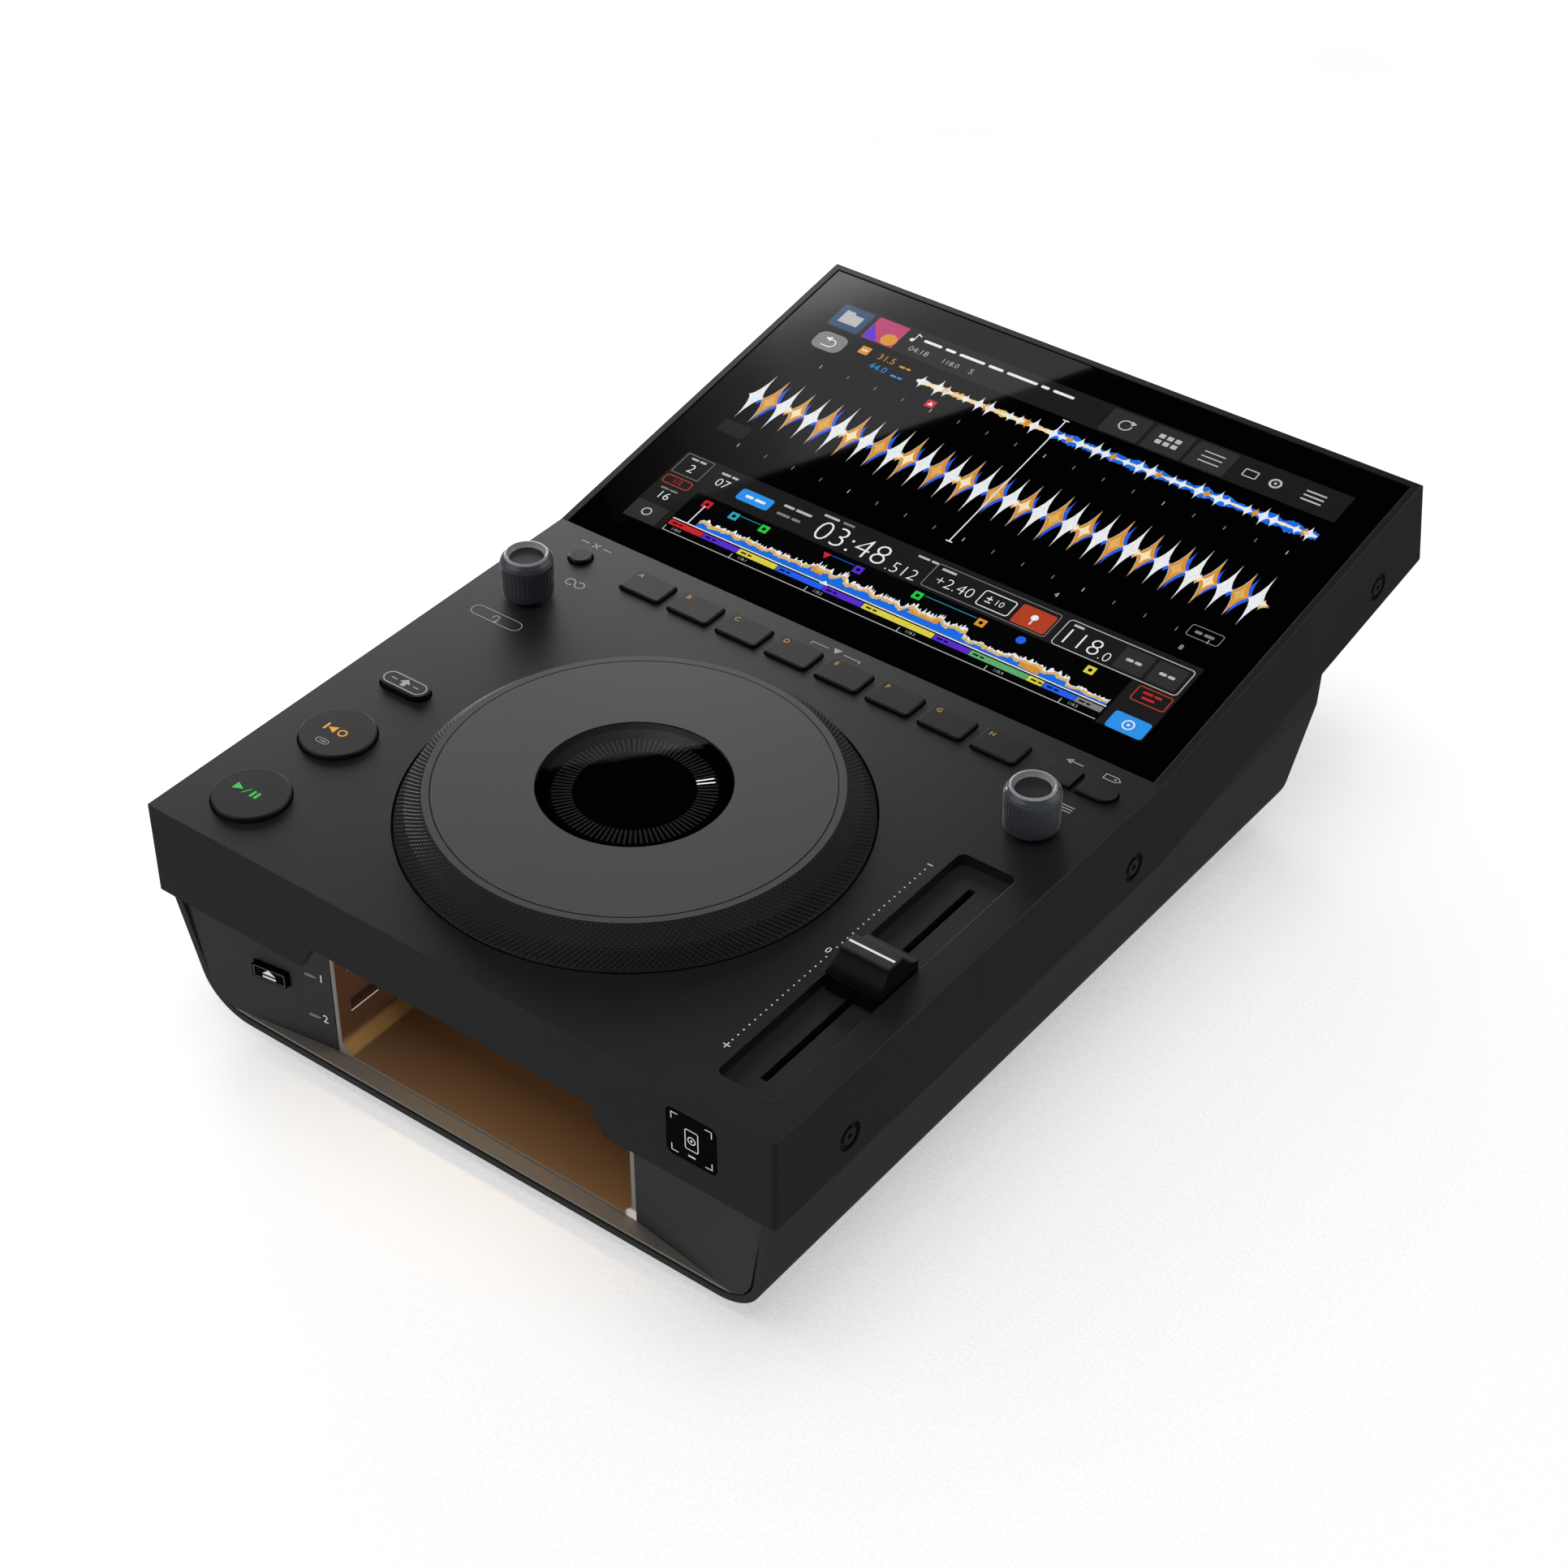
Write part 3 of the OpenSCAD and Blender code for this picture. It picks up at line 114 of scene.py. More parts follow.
def noise(nt, where, scale, detail=2.0, rough=0.5):
    n = new(nt, "TexNoise", Scale=scale, Detail=detail, Roughness=rough)
    link(nt, where, n.inputs["Vector"])
    return n.outputs["Fac"]


def span(nt, value, lo, hi, a=0.3, b=0.7):
    """From lo to hi while the value goes from a to b."""
    n = new(nt, "MapRange", From_Min=a, From_Max=b, To_Min=lo, To_Max=hi)
    link(nt, value, n.inputs["Value"])
    return n.outputs["Result"]


def above(nt, value, a, b):
    return span(nt, value, 0.0, 1.0, a, b)


def below(nt, value, a, b):
    return span(nt, value, 1.0, 0.0, a, b)


def combine(nt, operation, a, b):
    n = new(nt, "Math")
    n.operation = operation
    link(nt, a, n.inputs[0])
    link(nt, b, n.inputs[1])
    return n.outputs[0]


def mul(nt, a, b):
    return combine(nt, "MULTIPLY", a, b)


def blend_colour(nt, fac, c1, c2):
    n = new(nt, "Mix")
    n.data_type = "RGBA"
    put(n, A=(*c1, 1), B=(*c2, 1))
    link(nt, fac, n.inputs["Factor"])
    return n.outputs["Result"]


def repaint(mat, fac, colour, socket="Base Color"):
    """Lays a colour over what is linked to a socket of the shader, where fac is 1."""
    nt = mat.node_tree
    target = nt.nodes["Principled BSDF"].inputs[socket]
    n = new(nt, "Mix")
    n.data_type = "RGBA"
    put(n, B=(*colour, 1))
    link(nt, target.links[0].from_socket, n.inputs["A"])
    link(nt, fac, n.inputs["Factor"])
    link(nt, n.outputs["Result"], target)


def grey(v):
    return (v, v, v)


# ---- Materials ----
SLOW, LAMPS = 38.0, 900.0  # scales of the noise in the colour and in lit surfaces
GRAIN = 0.00006  # depth of the grain, in metres
DIMMEST = 0.86  # least share of a lit colour


def surface(name, base, rough, spec=0.5, metal=0.0, vary=0.1, grain=0.12, size=2200.0, drift=0.05,
            coat=0.0, emit=None, power=0.0, bevel=0.0, ior=1.5, sheen=0.0):
    """A moulded, painted or printed surface: slow colour drift, fine grain in the bump and in the gloss."""
    m = bpy.data.materials.new(name)
    m.use_nodes = True
    nt = m.node_tree
    p = nt.nodes["Principled BSDF"]
    put(p, Base_Color=(*base, 1), Roughness=rough, Specular_IOR_Level=spec, Metallic=metal, IOR=ior)
    if coat:
        put(p, Coat_Weight=coat, Coat_Roughness=0.12)
    if sheen:
        put(p, Sheen_Weight=sheen, Sheen_Roughness=0.22)
    where = coords(nt)
    slow = noise(nt, where, SLOW, 3.0)
    fine = noise(nt, where, size, 2.0, 0.6)
    lo = tuple(max(0.0, c * (1 - vary)) for c in base)
    hi = tuple(min(1.0, c * (1 + vary)) for c in base)
    link(nt, blend_colour(nt, slow, lo, hi), p.inputs["Base Color"])
    link(nt, span(nt, fine, rough - drift, rough + drift), p.inputs["Roughness"])
    if grain:
        b = new(nt, "Bump", Strength=grain, Distance=GRAIN)
        link(nt, fine, b.inputs["Height"])
        if bevel:
            v = new(nt, "Bevel", Radius=bevel)
            v.samples = 4
            link(nt, v.outputs["Normal"], b.inputs["Normal"])
        link(nt, b.outputs["Normal"], p.inputs["Normal"])
    if emit:
        put(p, Emission_Color=(*emit, 1), Emission_Strength=power)
        dim = tuple(c * DIMMEST for c in emit)
        flicker = span(nt, noise(nt, where, LAMPS), 0.0, 1.0)
        link(nt, blend_colour(nt, flicker, dim, emit), p.inputs["Emission Color"])
    return m


def lit(name, colour):
    """A lit part of the display, behind the same polished glass as its black parts."""
    return surface("ui_" + name, grey(0.0012), 0.035, vary=0.2, grain=0.0, drift=0.008,
                   emit=colour, power=1.0)


graphite = surface("graphite_plastic", (0.0155, 0.0157, 0.016), 0.40, bevel=0.0003, grain=0.10)
case_mat = surface("case_plastic", (0.028, 0.0283, 0.0288), 0.45, grain=0.18, bevel=0.0003)
plate_mat = surface("jog_plate_metal", (0.073, 0.073, 0.0735), 0.42, vary=0.04, grain=0.06, size=5200.0)
rim_mat = surface("jog_rim_metal", (0.070, 0.070, 0.0705), 0.40, vary=0.04, grain=0.06, size=5200.0)
ring_mat = surface("ring_rubber", grey(0.0220), 0.38, spec=0.32, vary=0.2, grain=0.10, size=3000.0)
gloss_black = surface("black_gloss", grey(0.0014), 0.06, spec=0.05, grain=0.0, vary=0.2, drift=0.02)
glass = surface("screen_glass", grey(0.0006), 0.03, grain=0.0, vary=0.2, drift=0.012)
lens_mat = surface("lens_glass", grey(0.62), 0.012, vary=0.04, grain=0.0, drift=0.004, ior=1.34)
put(lens_mat.node_tree.nodes["Principled BSDF"], Transmission_Weight=1.0)
lcd_black = surface("lcd_black", grey(0.0006), 0.6, spec=0.05, grain=0.05, vary=0.3)
black_plastic = surface("black_plastic", grey(0.0065), 0.30, grain=0.1, vary=0.2, bevel=0.0003)
cap_mat = surface("fader_plastic", grey(0.0034), 0.34, spec=0.26, grain=0.1, vary=0.15, bevel=0.0003)
key_smoke = surface("key_smoke", (0.0196, 0.0199, 0.0200), 0.34, grain=0.06, vary=0.1, bevel=0.0002)
key_dark = surface("key_dark", grey(0.0080), 0.40, grain=0.1, bevel=0.0002)
key_grey = surface("key_grey", (0.0150, 0.0152, 0.0155), 0.42, grain=0.1, bevel=0.0002)
pad_mat = surface("pad_silicone", (0.0088, 0.0088, 0.0082), 0.50, grain=0.14, bevel=0.0002)
knob_mat = surface("knob_smoke", (0.074, 0.081, 0.100), 0.22, spec=0.8, grain=0.0, vary=0.15,
                   coat=0.6, sheen=0.7)
knob_rim = surface("knob_rim", (0.42, 0.43, 0.44), 0.18, grain=0.0, vary=0.10, coat=0.5)
knob_top = surface("knob_top", (0.022, 0.025, 0.027), 0.36, grain=0.08)
steel = surface("sheet_steel", (0.45, 0.46, 0.48), 0.34, metal=0.9, grain=0.2, size=900.0)
bright = surface("bearing_steel", (0.62, 0.62, 0.63), 0.2, metal=0.95, grain=0.1)
alu = surface("post_aluminium", (0.55, 0.56, 0.58), 0.32, metal=0.9, grain=0.15)
black_steel = surface("black_steel", grey(0.016), 0.42, grain=0.3, size=1500.0)
foot_mat = surface("foot_rubber", grey(0.010), 0.75, spec=0.3, grain=0.4, size=1200.0)
board = surface("circuit_board", (0.02, 0.11, 0.05), 0.4, vary=0.3, grain=0.2)
enc_mat = surface("encoder_green", (0.03, 0.09, 0.05), 0.45)
lamp = surface("lamp_white", (0.8, 0.7, 0.5), 0.4, grain=0.0, emit=(1.0, 0.62, 0.28), power=2.0)
ink = surface("white_ink", grey(0.50), 0.5, vary=0.1, grain=0.1)
# white print, with a faint painted glow on top of the ink
bright_ink = surface("bright_ink", grey(0.85), 0.4, vary=0.05, grain=0.05, emit=grey(1.0), power=0.10)
contact = surface("gold_contact", (0.75, 0.52, 0.18), 0.25, metal=0.9, grain=0.05)
ink_dim = surface("grey_ink", grey(0.25), 0.5, vary=0.1, grain=0.1)
tick_mat = surface("display_tick", grey(0.02), 0.5, vary=0.25, grain=0.0, emit=grey(0.5), power=0.045)
marker = surface("display_marker", grey(0.3), 0.4, grain=0.0, emit=(0.95, 0.97, 1.0), power=2.0)
amber_ink = surface("amber_letter", (0.05, 0.035, 0.006), 0.5, grain=0.0, emit=(0.55, 0.30, 0.06), power=0.9)
green_ink = surface("green_light", (0.01, 0.05, 0.01), 0.5, grain=0.0, emit=(0.03, 0.62, 0.08), power=0.8)
orange_ink = surface("orange_light", (0.06, 0.03, 0.004), 0.5, grain=0.0, emit=(0.80, 0.36, 0.03), power=0.95)


def amber():
    """Bay liner: amber that glows though it is no lamp, as painted light that grows to the right and to the
    mouth, with painted shade deep inside and on the left wall, and painted highlights on the lower left
    corner, along the mouth and at its lower right tip.
    """
    m = surface("amber_translucent", (0.10, 0.058, 0.031), 0.34, vary=0.08, grain=0.0, drift=0.0, coat=0.2,
                emit=(1.0, 1.0, 1.0), power=1.0, bevel=0.0002)
    nt = m.node_tree
    x, y, z = axes(nt)
    lo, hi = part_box("usb_bay_liner")
    # painted light: the glow grows from the left of the liner to its right
    near = blend_colour(nt, above(nt, x, lo.x, hi.x), (0.046, 0.026, 0.0145), (0.072, 0.036, 0.0130))
    link(nt, near, nt.nodes["Principled BSDF"].inputs["Emission Color"])
    # painted shade further inside the bay
    deep = above(nt, y, lo.y + 0.001, lo.y + 0.024)
    # painted light on the lower left corner, fading inwards
    corner_glow = mul(nt, below(nt, x, lo.x + 0.0050, lo.x + 0.0062), below(nt, z, lo.z + 0.0046, lo.z + 0.0060))
    corner_glow = mul(nt, corner_glow, span(nt, y, 1.0, 0.12, lo.y + 0.004, lo.y + 0.026))
    # painted shade on the upper part of the left wall
    wall_shade = mul(nt, below(nt, x, lo.x + 0.0022, lo.x + 0.0030), above(nt, z, lo.z + 0.0060, lo.z + 0.0080))
    # painted highlight along the mouth's edge, with a painted glint at its lower right tip
    edge = below(nt, y, lo.y + 0.0002, lo.y + 0.0004)
    tip_glint = mul(nt, above(nt, x, hi.x - 0.0045, hi.x - 0.0035), below(nt, z, lo.z + 0.0040, lo.z + 0.0055))
    for fac, colour in (
            (deep, (0.0030, 0.0016, 0.0010)), (corner_glow, (0.150, 0.084, 0.024)),
            (wall_shade, (0.016, 0.0060, 0.0040)), (edge, (0.034, 0.033, 0.029)),
            (mul(nt, edge, tip_glint), (0.42, 0.38, 0.36))):
        repaint(m, fac, colour, "Emission Color")
    # the painted highlight along the mouth is laid into the base colour too
    repaint(m, edge, (0.22, 0.215, 0.195))
    return m


def panel_with_painted_ledge():
    """Front panel: as the case, with painted light on the ledge at its foot, whose top and the upper rim of
    its lip are paler.
    """
    m = surface("panel_plastic", (0.042, 0.0425, 0.043), 0.45, grain=0.18, bevel=0.0003)
    height = axes(m.node_tree)["Z"]
    # painted light: a thin band at the ledge's height is painted pale
    ledge = below(m.node_tree, height, LEDGE * MM + 0.0001, LEDGE * MM + 0.0004)
    repaint(m, ledge, (0.25, 0.238, 0.218))
    return m


def paint_trough_light():
    """Upper housing: painted light on the floor of the fader's trough, a shade paler than the deck, against
    the shade of its wall.
    """
    nt = graphite.node_tree
    x, y, z = axes(nt)
    lo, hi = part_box("fader_cap")
    left, right, near = lo.x - 0.004, hi.x + 0.004, front + 0.010
    inside = mul(nt, above(nt, x, left - 0.0001, left), below(nt, x, right, right + 0.0001))
    inside = mul(nt, inside, above(nt, y, near, near + 0.001))
    deep = below(nt, z, deck_z - 0.0016, deck_z - 0.0004)
    # painted light on the trough's floor
    repaint(graphite, mul(nt, deep, inside), (0.0225, 0.0228, 0.0232))


def paint_ridge_highlight():
    """Fader cap: a painted highlight makes its ridge paler than the hollow flanks."""
    nt = cap_mat.node_tree
    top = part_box("fader_cap")[1].z
    # painted highlight along the top of the cap
    repaint(cap_mat, above(nt, axes(nt)["Z"], top - 0.0010, top - 0.0004), grey(0.046))


paint_trough_light()
paint_ridge_highlight()
amber_mat = amber()
panel_mat = panel_with_painted_ledge()

DRESS = {
    graphite: "top_case",
    case_mat: "lower_case screen_rear_cover jog_hub",
    panel_mat: "front_panel",
    amber_mat: "usb_bay_liner",
    lamp: "bay_light_bar",
    black_steel: "rear_panel side_screws fader_body",
    foot_mat: "feet",
    gloss_black: "nfc_window eject_button jog_display_cup",
    glass: "touch_glass",
    lcd_black: "lcd_panel jog_display_board",
    plate_mat: "jog_top_plate",
    lens_mat: "jog_display_lens",
    bright: "jog_bearing_outer jog_bearing_inner usb_ports lan_port rca_jacks loop_plunger browse_plunger",
    alu: "jog_post",
    steel: "lcd_bracket jog_base_plate jog_encoder_disc fader_lever power_supply",
    black_plastic: "jog_encoder_sensor power_inlet power_button delete_button",
    cap_mat: "fader_cap",
    key_smoke: "play_button cue_button",
    key_dark: "shift_button",
    key_grey: "back_button tag_button",
    pad_mat: " ".join("pad_" + c for c in PADS),
    enc_mat: "loop_encoder browse_encoder",
    board: "display_board control_board main_board bay_board rear_board",
    ring_mat: "jog_knurled_ring",
    knob_mat: "loop_knob browse_knob",
}
for mat, names in DRESS.items():
    for n in names.split():
        for s in nodes[n].material_slots:
            s.material = mat


# ---- Meshes ----
class Piece:
    """Closed forms gathered into one mesh, each with its own material."""

    def __init__(self):
        self.verts, self.faces, self.index, self.mats = [], [], [], []

    def cover(self, first, faces, mat):
        """Faces over the points from the first one on."""
        if mat not in self.mats:
            self.mats.append(mat)
        self.faces += [[i + first for i in f] for f in faces]
        self.index += [self.mats.index(mat)] * len(faces)

    def add(self, frame_, pts, faces, mat):
        first = len(self.verts)
        self.verts += [frame_ @ Vector(p) for p in pts]
        self.cover(first, faces, mat)

    def prism(self, frame_, pts, z0, z1, mat):
        k = len(pts)
        area = sum(pts[i - 1][0] * pts[i][1] - pts[i][0] * pts[i - 1][1] for i in range(k))
        pts = pts if area > 0 else pts[::-1]
        both = [(x, y, z0) for x, y in pts] + [(x, y, z1) for x, y in pts]
        faces = [list(range(k - 1, -1, -1)), list(range(k, 2 * k))]
        faces += [[i, (i + 1) % k, (i + 1) % k + k, i + k] for i in range(k)]
        self.add(frame_, both, faces, mat)

    def band(self, frame_, outer, inner, z0, z1, mat):
        k = len(outer)
        pts = [(*p, z) for z in (z0, z1) for loop in (outer, inner) for p in loop]
        faces = []
        for i in range(k):
            j = (i + 1) % k
            faces += [[2 * k + i, 2 * k + j, 3 * k + j, 3 * k + i], [j, i, k + i, k + j],
                      [i, j, 2 * k + j, 2 * k + i], [k + j, k + i, 3 * k + i, 3 * k + j]]
        self.add(frame_, pts, faces, mat)

    def write(self, frame_, text, x, y, height, z0, z1, mat, bold=0.0):
        pts, faces = glyphs(text, height, bold)
        top = max(p[2] for p in pts) or 1
        self.add(frame_, [(x + p[0], y + p[1], z0 if p[2] < top / 2 else z1) for p in pts], faces, mat)

    def revolve(self, frame_, rings, turns, mats, pyramids=()):
        """rings: one function per row, which gives (r, z) at step i; mats: the material above each row.
        In the rows named as pyramids each square is split between its two low corners."""
        rows = len(rings)
        first = len(self.verts)
        for row in rings:
            for i in range(turns):
                r, z = row(i)
                a = 2 * math.pi * i / turns
                self.verts.append(frame_ @ Vector((r * math.cos(a), r * math.sin(a), z)))
        for k in range(rows):
            j = (k + 1) % rows
            faces = []
            for i in range(turns):
                n = (i + 1) % turns
                a, b, c, d = k * turns + i, j * turns + i, j * turns + n, k * turns + n
                if k not in pyramids:
                    faces.append([a, b, c, d])
                elif (i + k) % 2:
                    faces += [[a, b, d], [b, c, d]]
                else:
                    faces += [[a, b, c], [a, c, d]]
            self.cover(first, faces, mats[k])

    def build(self, name, body, slot, smooth=False, replaces=()):
        me = bpy.data.meshes.new(name)
        me.from_pydata(self.verts, [], self.faces)
        for m in self.mats:
            me.materials.append(m)
        me.polygons.foreach_set("material_index", self.index)
        if smooth:
            me.polygons.foreach_set("use_smooth", [True] * len(self.faces))
        me.update()
        ob = bpy.data.objects.new(name, me)
        scene.collection.objects.link(ob)
        if smooth:
            bpy.context.view_layer.objects.active = ob
            ob.select_set(True)
            bpy.ops.object.shade_smooth_by_angle(angle=math.radians(32))
            ob.select_set(False)
        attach(ob, body)
        if replaces:
            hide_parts(*replaces)
        return ob


class Marks(Piece):
    """Flat marks on a face, such as print."""

    def __init__(self, face, z, ink_, middle=(0, 0), top=None):
        super().__init__()
        self.on(face, z, ink_, middle, top)

    def on(self, face, z, ink_, middle=(0, 0), top=None):
        """What the next marks share; they are drawn about the middle."""
        self.face, self.ink = face, ink_
        self.low, self.high = z, z + PRINT if top is None else top
        self.x, self.y = middle[0], middle[1]

    def placed(self, pts):
        return [(x + self.x, y + self.y) for x, y in pts]

    def mark(self, pts):
        self.prism(self.face, self.placed(pts), self.low, self.high, self.ink)

    def outline(self, outer, inner):
        self.band(self.face, self.placed(outer), self.placed(inner), self.low, self.high, self.ink)

    def word(self, text, x, y, height):
        self.write(self.face, text, x + self.x, y + self.y, height, self.low, self.high, self.ink)


CAPITAL = 0.7  # height of a capital, as a share of the typeface's size


def glyphs(text, height, bold):
    """Points and faces of a word in Blender's own typeface, with capitals of that height."""
    cu = bpy.data.curves.new("glyphs", "FONT")
    cu.body = text
    cu.size = height / CAPITAL
    cu.align_x = cu.align_y = "CENTER"
    cu.extrude = 0.5
    cu.resolution_u = 3
    cu.offset = bold
    ob = bpy.data.objects.new("glyphs", cu)
    me = bpy.data.meshes.new_from_object(ob)
    pts = [(v.co.x, v.co.y, v.co.z + 0.5) for v in me.vertices]
    faces = [list(p.vertices) for p in me.polygons]
    bpy.data.objects.remove(ob)
    bpy.data.meshes.remove(me)
    bpy.data.curves.remove(cu)
    return pts, faces


# ---- Flat shapes, each a list of points ----
def rect(x0, x1, y0, y1):
    return [(x0, y0), (x1, y0), (x1, y1), (x0, y1)]


def around(x, y, w, h, r, n=5):
    """Rounded rectangle about a middle."""
    pts = []
    for k, (i, j) in enumerate(((1, 1), (-1, 1), (-1, -1), (1, -1))):
        for s in range(n + 1):
            a = math.radians(90 * k + 90 * s / n)
            pts.append((x + i * (w / 2 - r) + r * math.cos(a), y + j * (h / 2 - r) + r * math.sin(a)))
    return pts



def frame_of(x, y, w, h, r, t):
    """Outer and inner line of a rounded frame of thickness t."""
    return around(x, y, w, h, r), around(x, y, w - 2 * t, h - 2 * t, max(r - t, 0.02))


def circle(x, y, r, n=24, a0=0.0, a1=360.0):
    """Circle, or the part of one from angle a0 to a1, in degrees."""
    steps = n if a1 - a0 >= 360 else n + 1
    angles = [math.radians(a0 + (a1 - a0) * i / n) for i in range(steps)]
    return [(x + r * math.cos(a), y + r * math.sin(a)) for a in angles]


def arc(x, y, r0, r1, a0, a1, n=16):
    return circle(x, y, r1, n, a0, a1) + circle(x, y, r0, n, a0, a1)[::-1]


def line(x0, y0, x1, y1, w):
    d = math.hypot(x1 - x0, y1 - y0)
    nx, ny = -(y1 - y0) / d * w / 2, (x1 - x0) / d * w / 2
    return [(x0 + nx, y0 + ny), (x0 - nx, y0 - ny), (x1 - nx, y1 - ny), (x1 + nx, y1 + ny)]



def spoke(x, y, r0, r1, degrees, w):
    """Line along a ray from a middle, between two distances from it."""
    c, s = math.cos(math.radians(degrees)), math.sin(math.radians(degrees))
    return line(x + r0 * c, y + r0 * s, x + r1 * c, y + r1 * s, w)


# ---- Jog wheel: knurled ring. Points are a radius and a height over the deck ----
jog = local("jog_top_plate")
JOG = Matrix.Translation(DECK @ Vector((0, jog.y, 0))) @ MILLI
TEETH, ROWS = 232, 16  # pyramids around the ring, and steps down its flank
DEEP, NOTCH = 0.27, 0.22  # depth of the hollows in the flank, and of those in its upper edge
FLANK = ((66.5, 11.2), (72.35, 6.27), (75.8, 0.0))
LEAN_HIGH, LEAN_LOW = 40, 61.2  # way out of the flank above and below its bend, degrees from upright
RIBS, STEP, GROOVE = 36, 5, 3  # of a knob: ribs, steps from rib to rib, and the first step of a groove
UNDERSIDE = ((61.0, 9.2), (61.0, 7.2), (65.7, 7.2), (69.35, 5.07), (73.2, -0.6), (73.2, -3.6), (75.8, -3.6))
RIM = ((64.05, 11.2), (63.9, 11.05), (63.9, 9.2))


def on_flank(t):
    """Point of the ring's flank, t from 0 at the rim to 1 at the deck, and the way out of it."""
    (ax, az), (bx, bz), (cx, cz) = FLANK
    l1, l2 = math.hypot(bx - ax, bz - az), math.hypot(cx - bx, cz - bz)
    s = t * (l1 + l2)
    if s < l1:
        x, z = ax + (bx - ax) * s / l1, az + (bz - az) * s / l1
    else:
        x, z = bx + (cx - bx) * (s - l1) / l2, bz + (cz - bz) * (s - l1) / l2
    past_bend = min(1, max(0, (s - l1 * 0.6) / (l1 * 0.8)))
    lean = math.radians(LEAN_HIGH + (LEAN_LOW - LEAN_HIGH) * past_bend)
    return x, z, math.sin(lean), math.cos(lean)


def knurl(row):
    """One row of the flank, in which every other point lies deeper."""
    x, z, nx, nz = on_flank(row / ROWS)

    def at(i):
        deep = DEEP if (i + row) % 2 and 0 < row < ROWS else 0
        notch = NOTCH if row == 0 and i % 2 else 0
        return x - nx * deep - notch, z - nz * deep

    return at


def ribbed(r, z, depth=0.0):
    """One row around an axis, round or with grooves between the ribs of a knob."""
    return lambda i: (r - (depth if i % STEP >= GROOVE else 0), z)


ring = Piece()
rows = [ribbed(*p) for p in UNDERSIDE] + [knurl(r) for r in range(ROWS, -1, -1)] + [ribbed(*p) for p in RIM]
flank_rows = range(len(UNDERSIDE), len(UNDERSIDE) + ROWS)
mats = [ring_mat] * flank_rows.stop + [rim_mat] * (len(rows) - flank_rows.stop)
ring.revolve(JOG, rows, TEETH * 2, mats, flank_rows)
ring.build("jog_knurled_grip", "jog_wheel", "ring_rubber", replaces=["jog_knurled_ring"])

# ---- Knobs: radius, height and depth of the grooves, from the bore out and over the top ----
KNOB = (
    (knob_mat, ((3.1, 1.6), (5.0, 1.6), (5.0, 4.5), (7.5, 4.5), (7.5, 1.6), (8.4, 1.6), (8.75, 1.75),
                (8.9, 2.1), (9.0, 3.0, 0.12), (9.2, 12.2, 0.22), (9.22, 13.2), (9.25, 14.1), (9.1, 14.7),
                (8.95, 14.85), (8.95, 15.1), (8.75, 15.45), (8.2, 15.95))),
    (knob_rim, ((7.65, 16.6), (7.45, 17.1), (7.2, 17.28), (6.95, 17.3), (6.7, 17.15), (6.45, 16.6))),
    (knob_top, ((5.95, 15.4), (5.6, 15.12), (5.2, 15.1), (0.05, 15.1))),
    (knob_mat, ((0.05, 13.4), (3.1, 13.4))),
)
rows = [ribbed(*p) for mat, pts in KNOB for p in pts]
mats = [mat for mat, pts in KNOB for p in pts]
for side in ("loop", "browse"):
    p = local(side + "_knob")
    knob = Piece()
    knob.revolve(Matrix.Translation(DECK @ Vector((p.x, p.y, 0))) @ MILLI, rows, RIBS * STEP, mats)
    knob.build(side + "_knob_ribbed", side + "_turn", "knob_smoke", smooth=True, replaces=[side + "_knob"])

# ---- Printing on the deck ----
deck = Marks(DECK, 0, ink)
# a turned arrow in a pill, left of the jog wheel
deck.outline(*frame_of(-103.2, 142.5, 21.5, 5.4, 2.69, 0.28))
deck.mark(arc(-103.2, 142.4, 1.0, 1.35, -60, 220))
deck.mark([(-102.9, 140.4), (-101.4, 141.6), (-102.0, 139.9)])
# a cross between two dashes, at the left back
for a in (45, -45):
    deck.mark(spoke(-103.5, 195.6, -1.7, 1.7, a, 0.5))
for s in (-1, 1):
    deck.mark(line(-103.5 + s * 3.2, 195.6, -103.5 + s * 6.6, 195.6, 0.42))
# a wedge in a bracket, under the middle of the screen
for s in (-1, 1):
    deck.mark(line(s * 3.2, 196.6, s * 9.8, 196.6, 0.34))
    deck.mark(line(s * 9.8, 195.4, s * 9.8, 196.77, 0.34))
deck.mark([(-1.7, 198.0), (1.7, 198.0), (0, 195.3)])
# at the right back an arrow, then a label with its hole
deck.mark(line(94.2, 195.0, 99.6, 195.0, 0.42))
deck.mark([(93.2, 195.0), (95.4, 196.3), (95.4, 193.7)])
deck.outline([(107.4, 193.8), (112.0, 193.8), (113.8, 195.2), (112.0, 196.6), (107.4, 196.6)],
             [(107.75, 194.15), (111.85, 194.15), (113.25, 195.2), (111.85, 196.25), (107.75, 196.25)])
deck.mark(circle(111.5, 195.2, 0.4, 12))
# three lines on the right, and on the left two open rings with a stroke between them
for k in range(3):
    deck.mark(line(102.5, 172.6 + k * 1.3, 109.3, 172.6 + k * 1.3, 0.42))
deck.mark(arc(-97.0, 173.9, 1.5, 1.92, 40, 320))
deck.mark(arc(-92.9, 173.9, 1.5, 1.92, 220, 500))
deck.mark(line(-95.5, 175.1, -94.4, 172.7, 0.42))
# the fader's scale: dots, a nought in the middle, less and more at the ends
SCALE_X, DOTS, PITCH, ENDS = 88.9, 18, 2.66, 50.6
fader = local("fader_cap")
deck.on(DECK, 0, bright_ink, (SCALE_X, fader.y))
for k in range(-DOTS, DOTS + 1):
    if k:
        deck.mark(circle(0, k * PITCH, 0.30, 10))
deck.word("0", -1.3, 0, 2.5)
deck.mark(line(-1.0, ENDS, 1.0, ENDS, 0.36))
deck.mark(line(-1.3, -ENDS, 1.3, -ENDS, 0.36))
deck.mark(line(0, -ENDS - 1.3, 0, -ENDS + 1.3, 0.36))
deck.build("deck_printing", "base", "graphite_plastic")

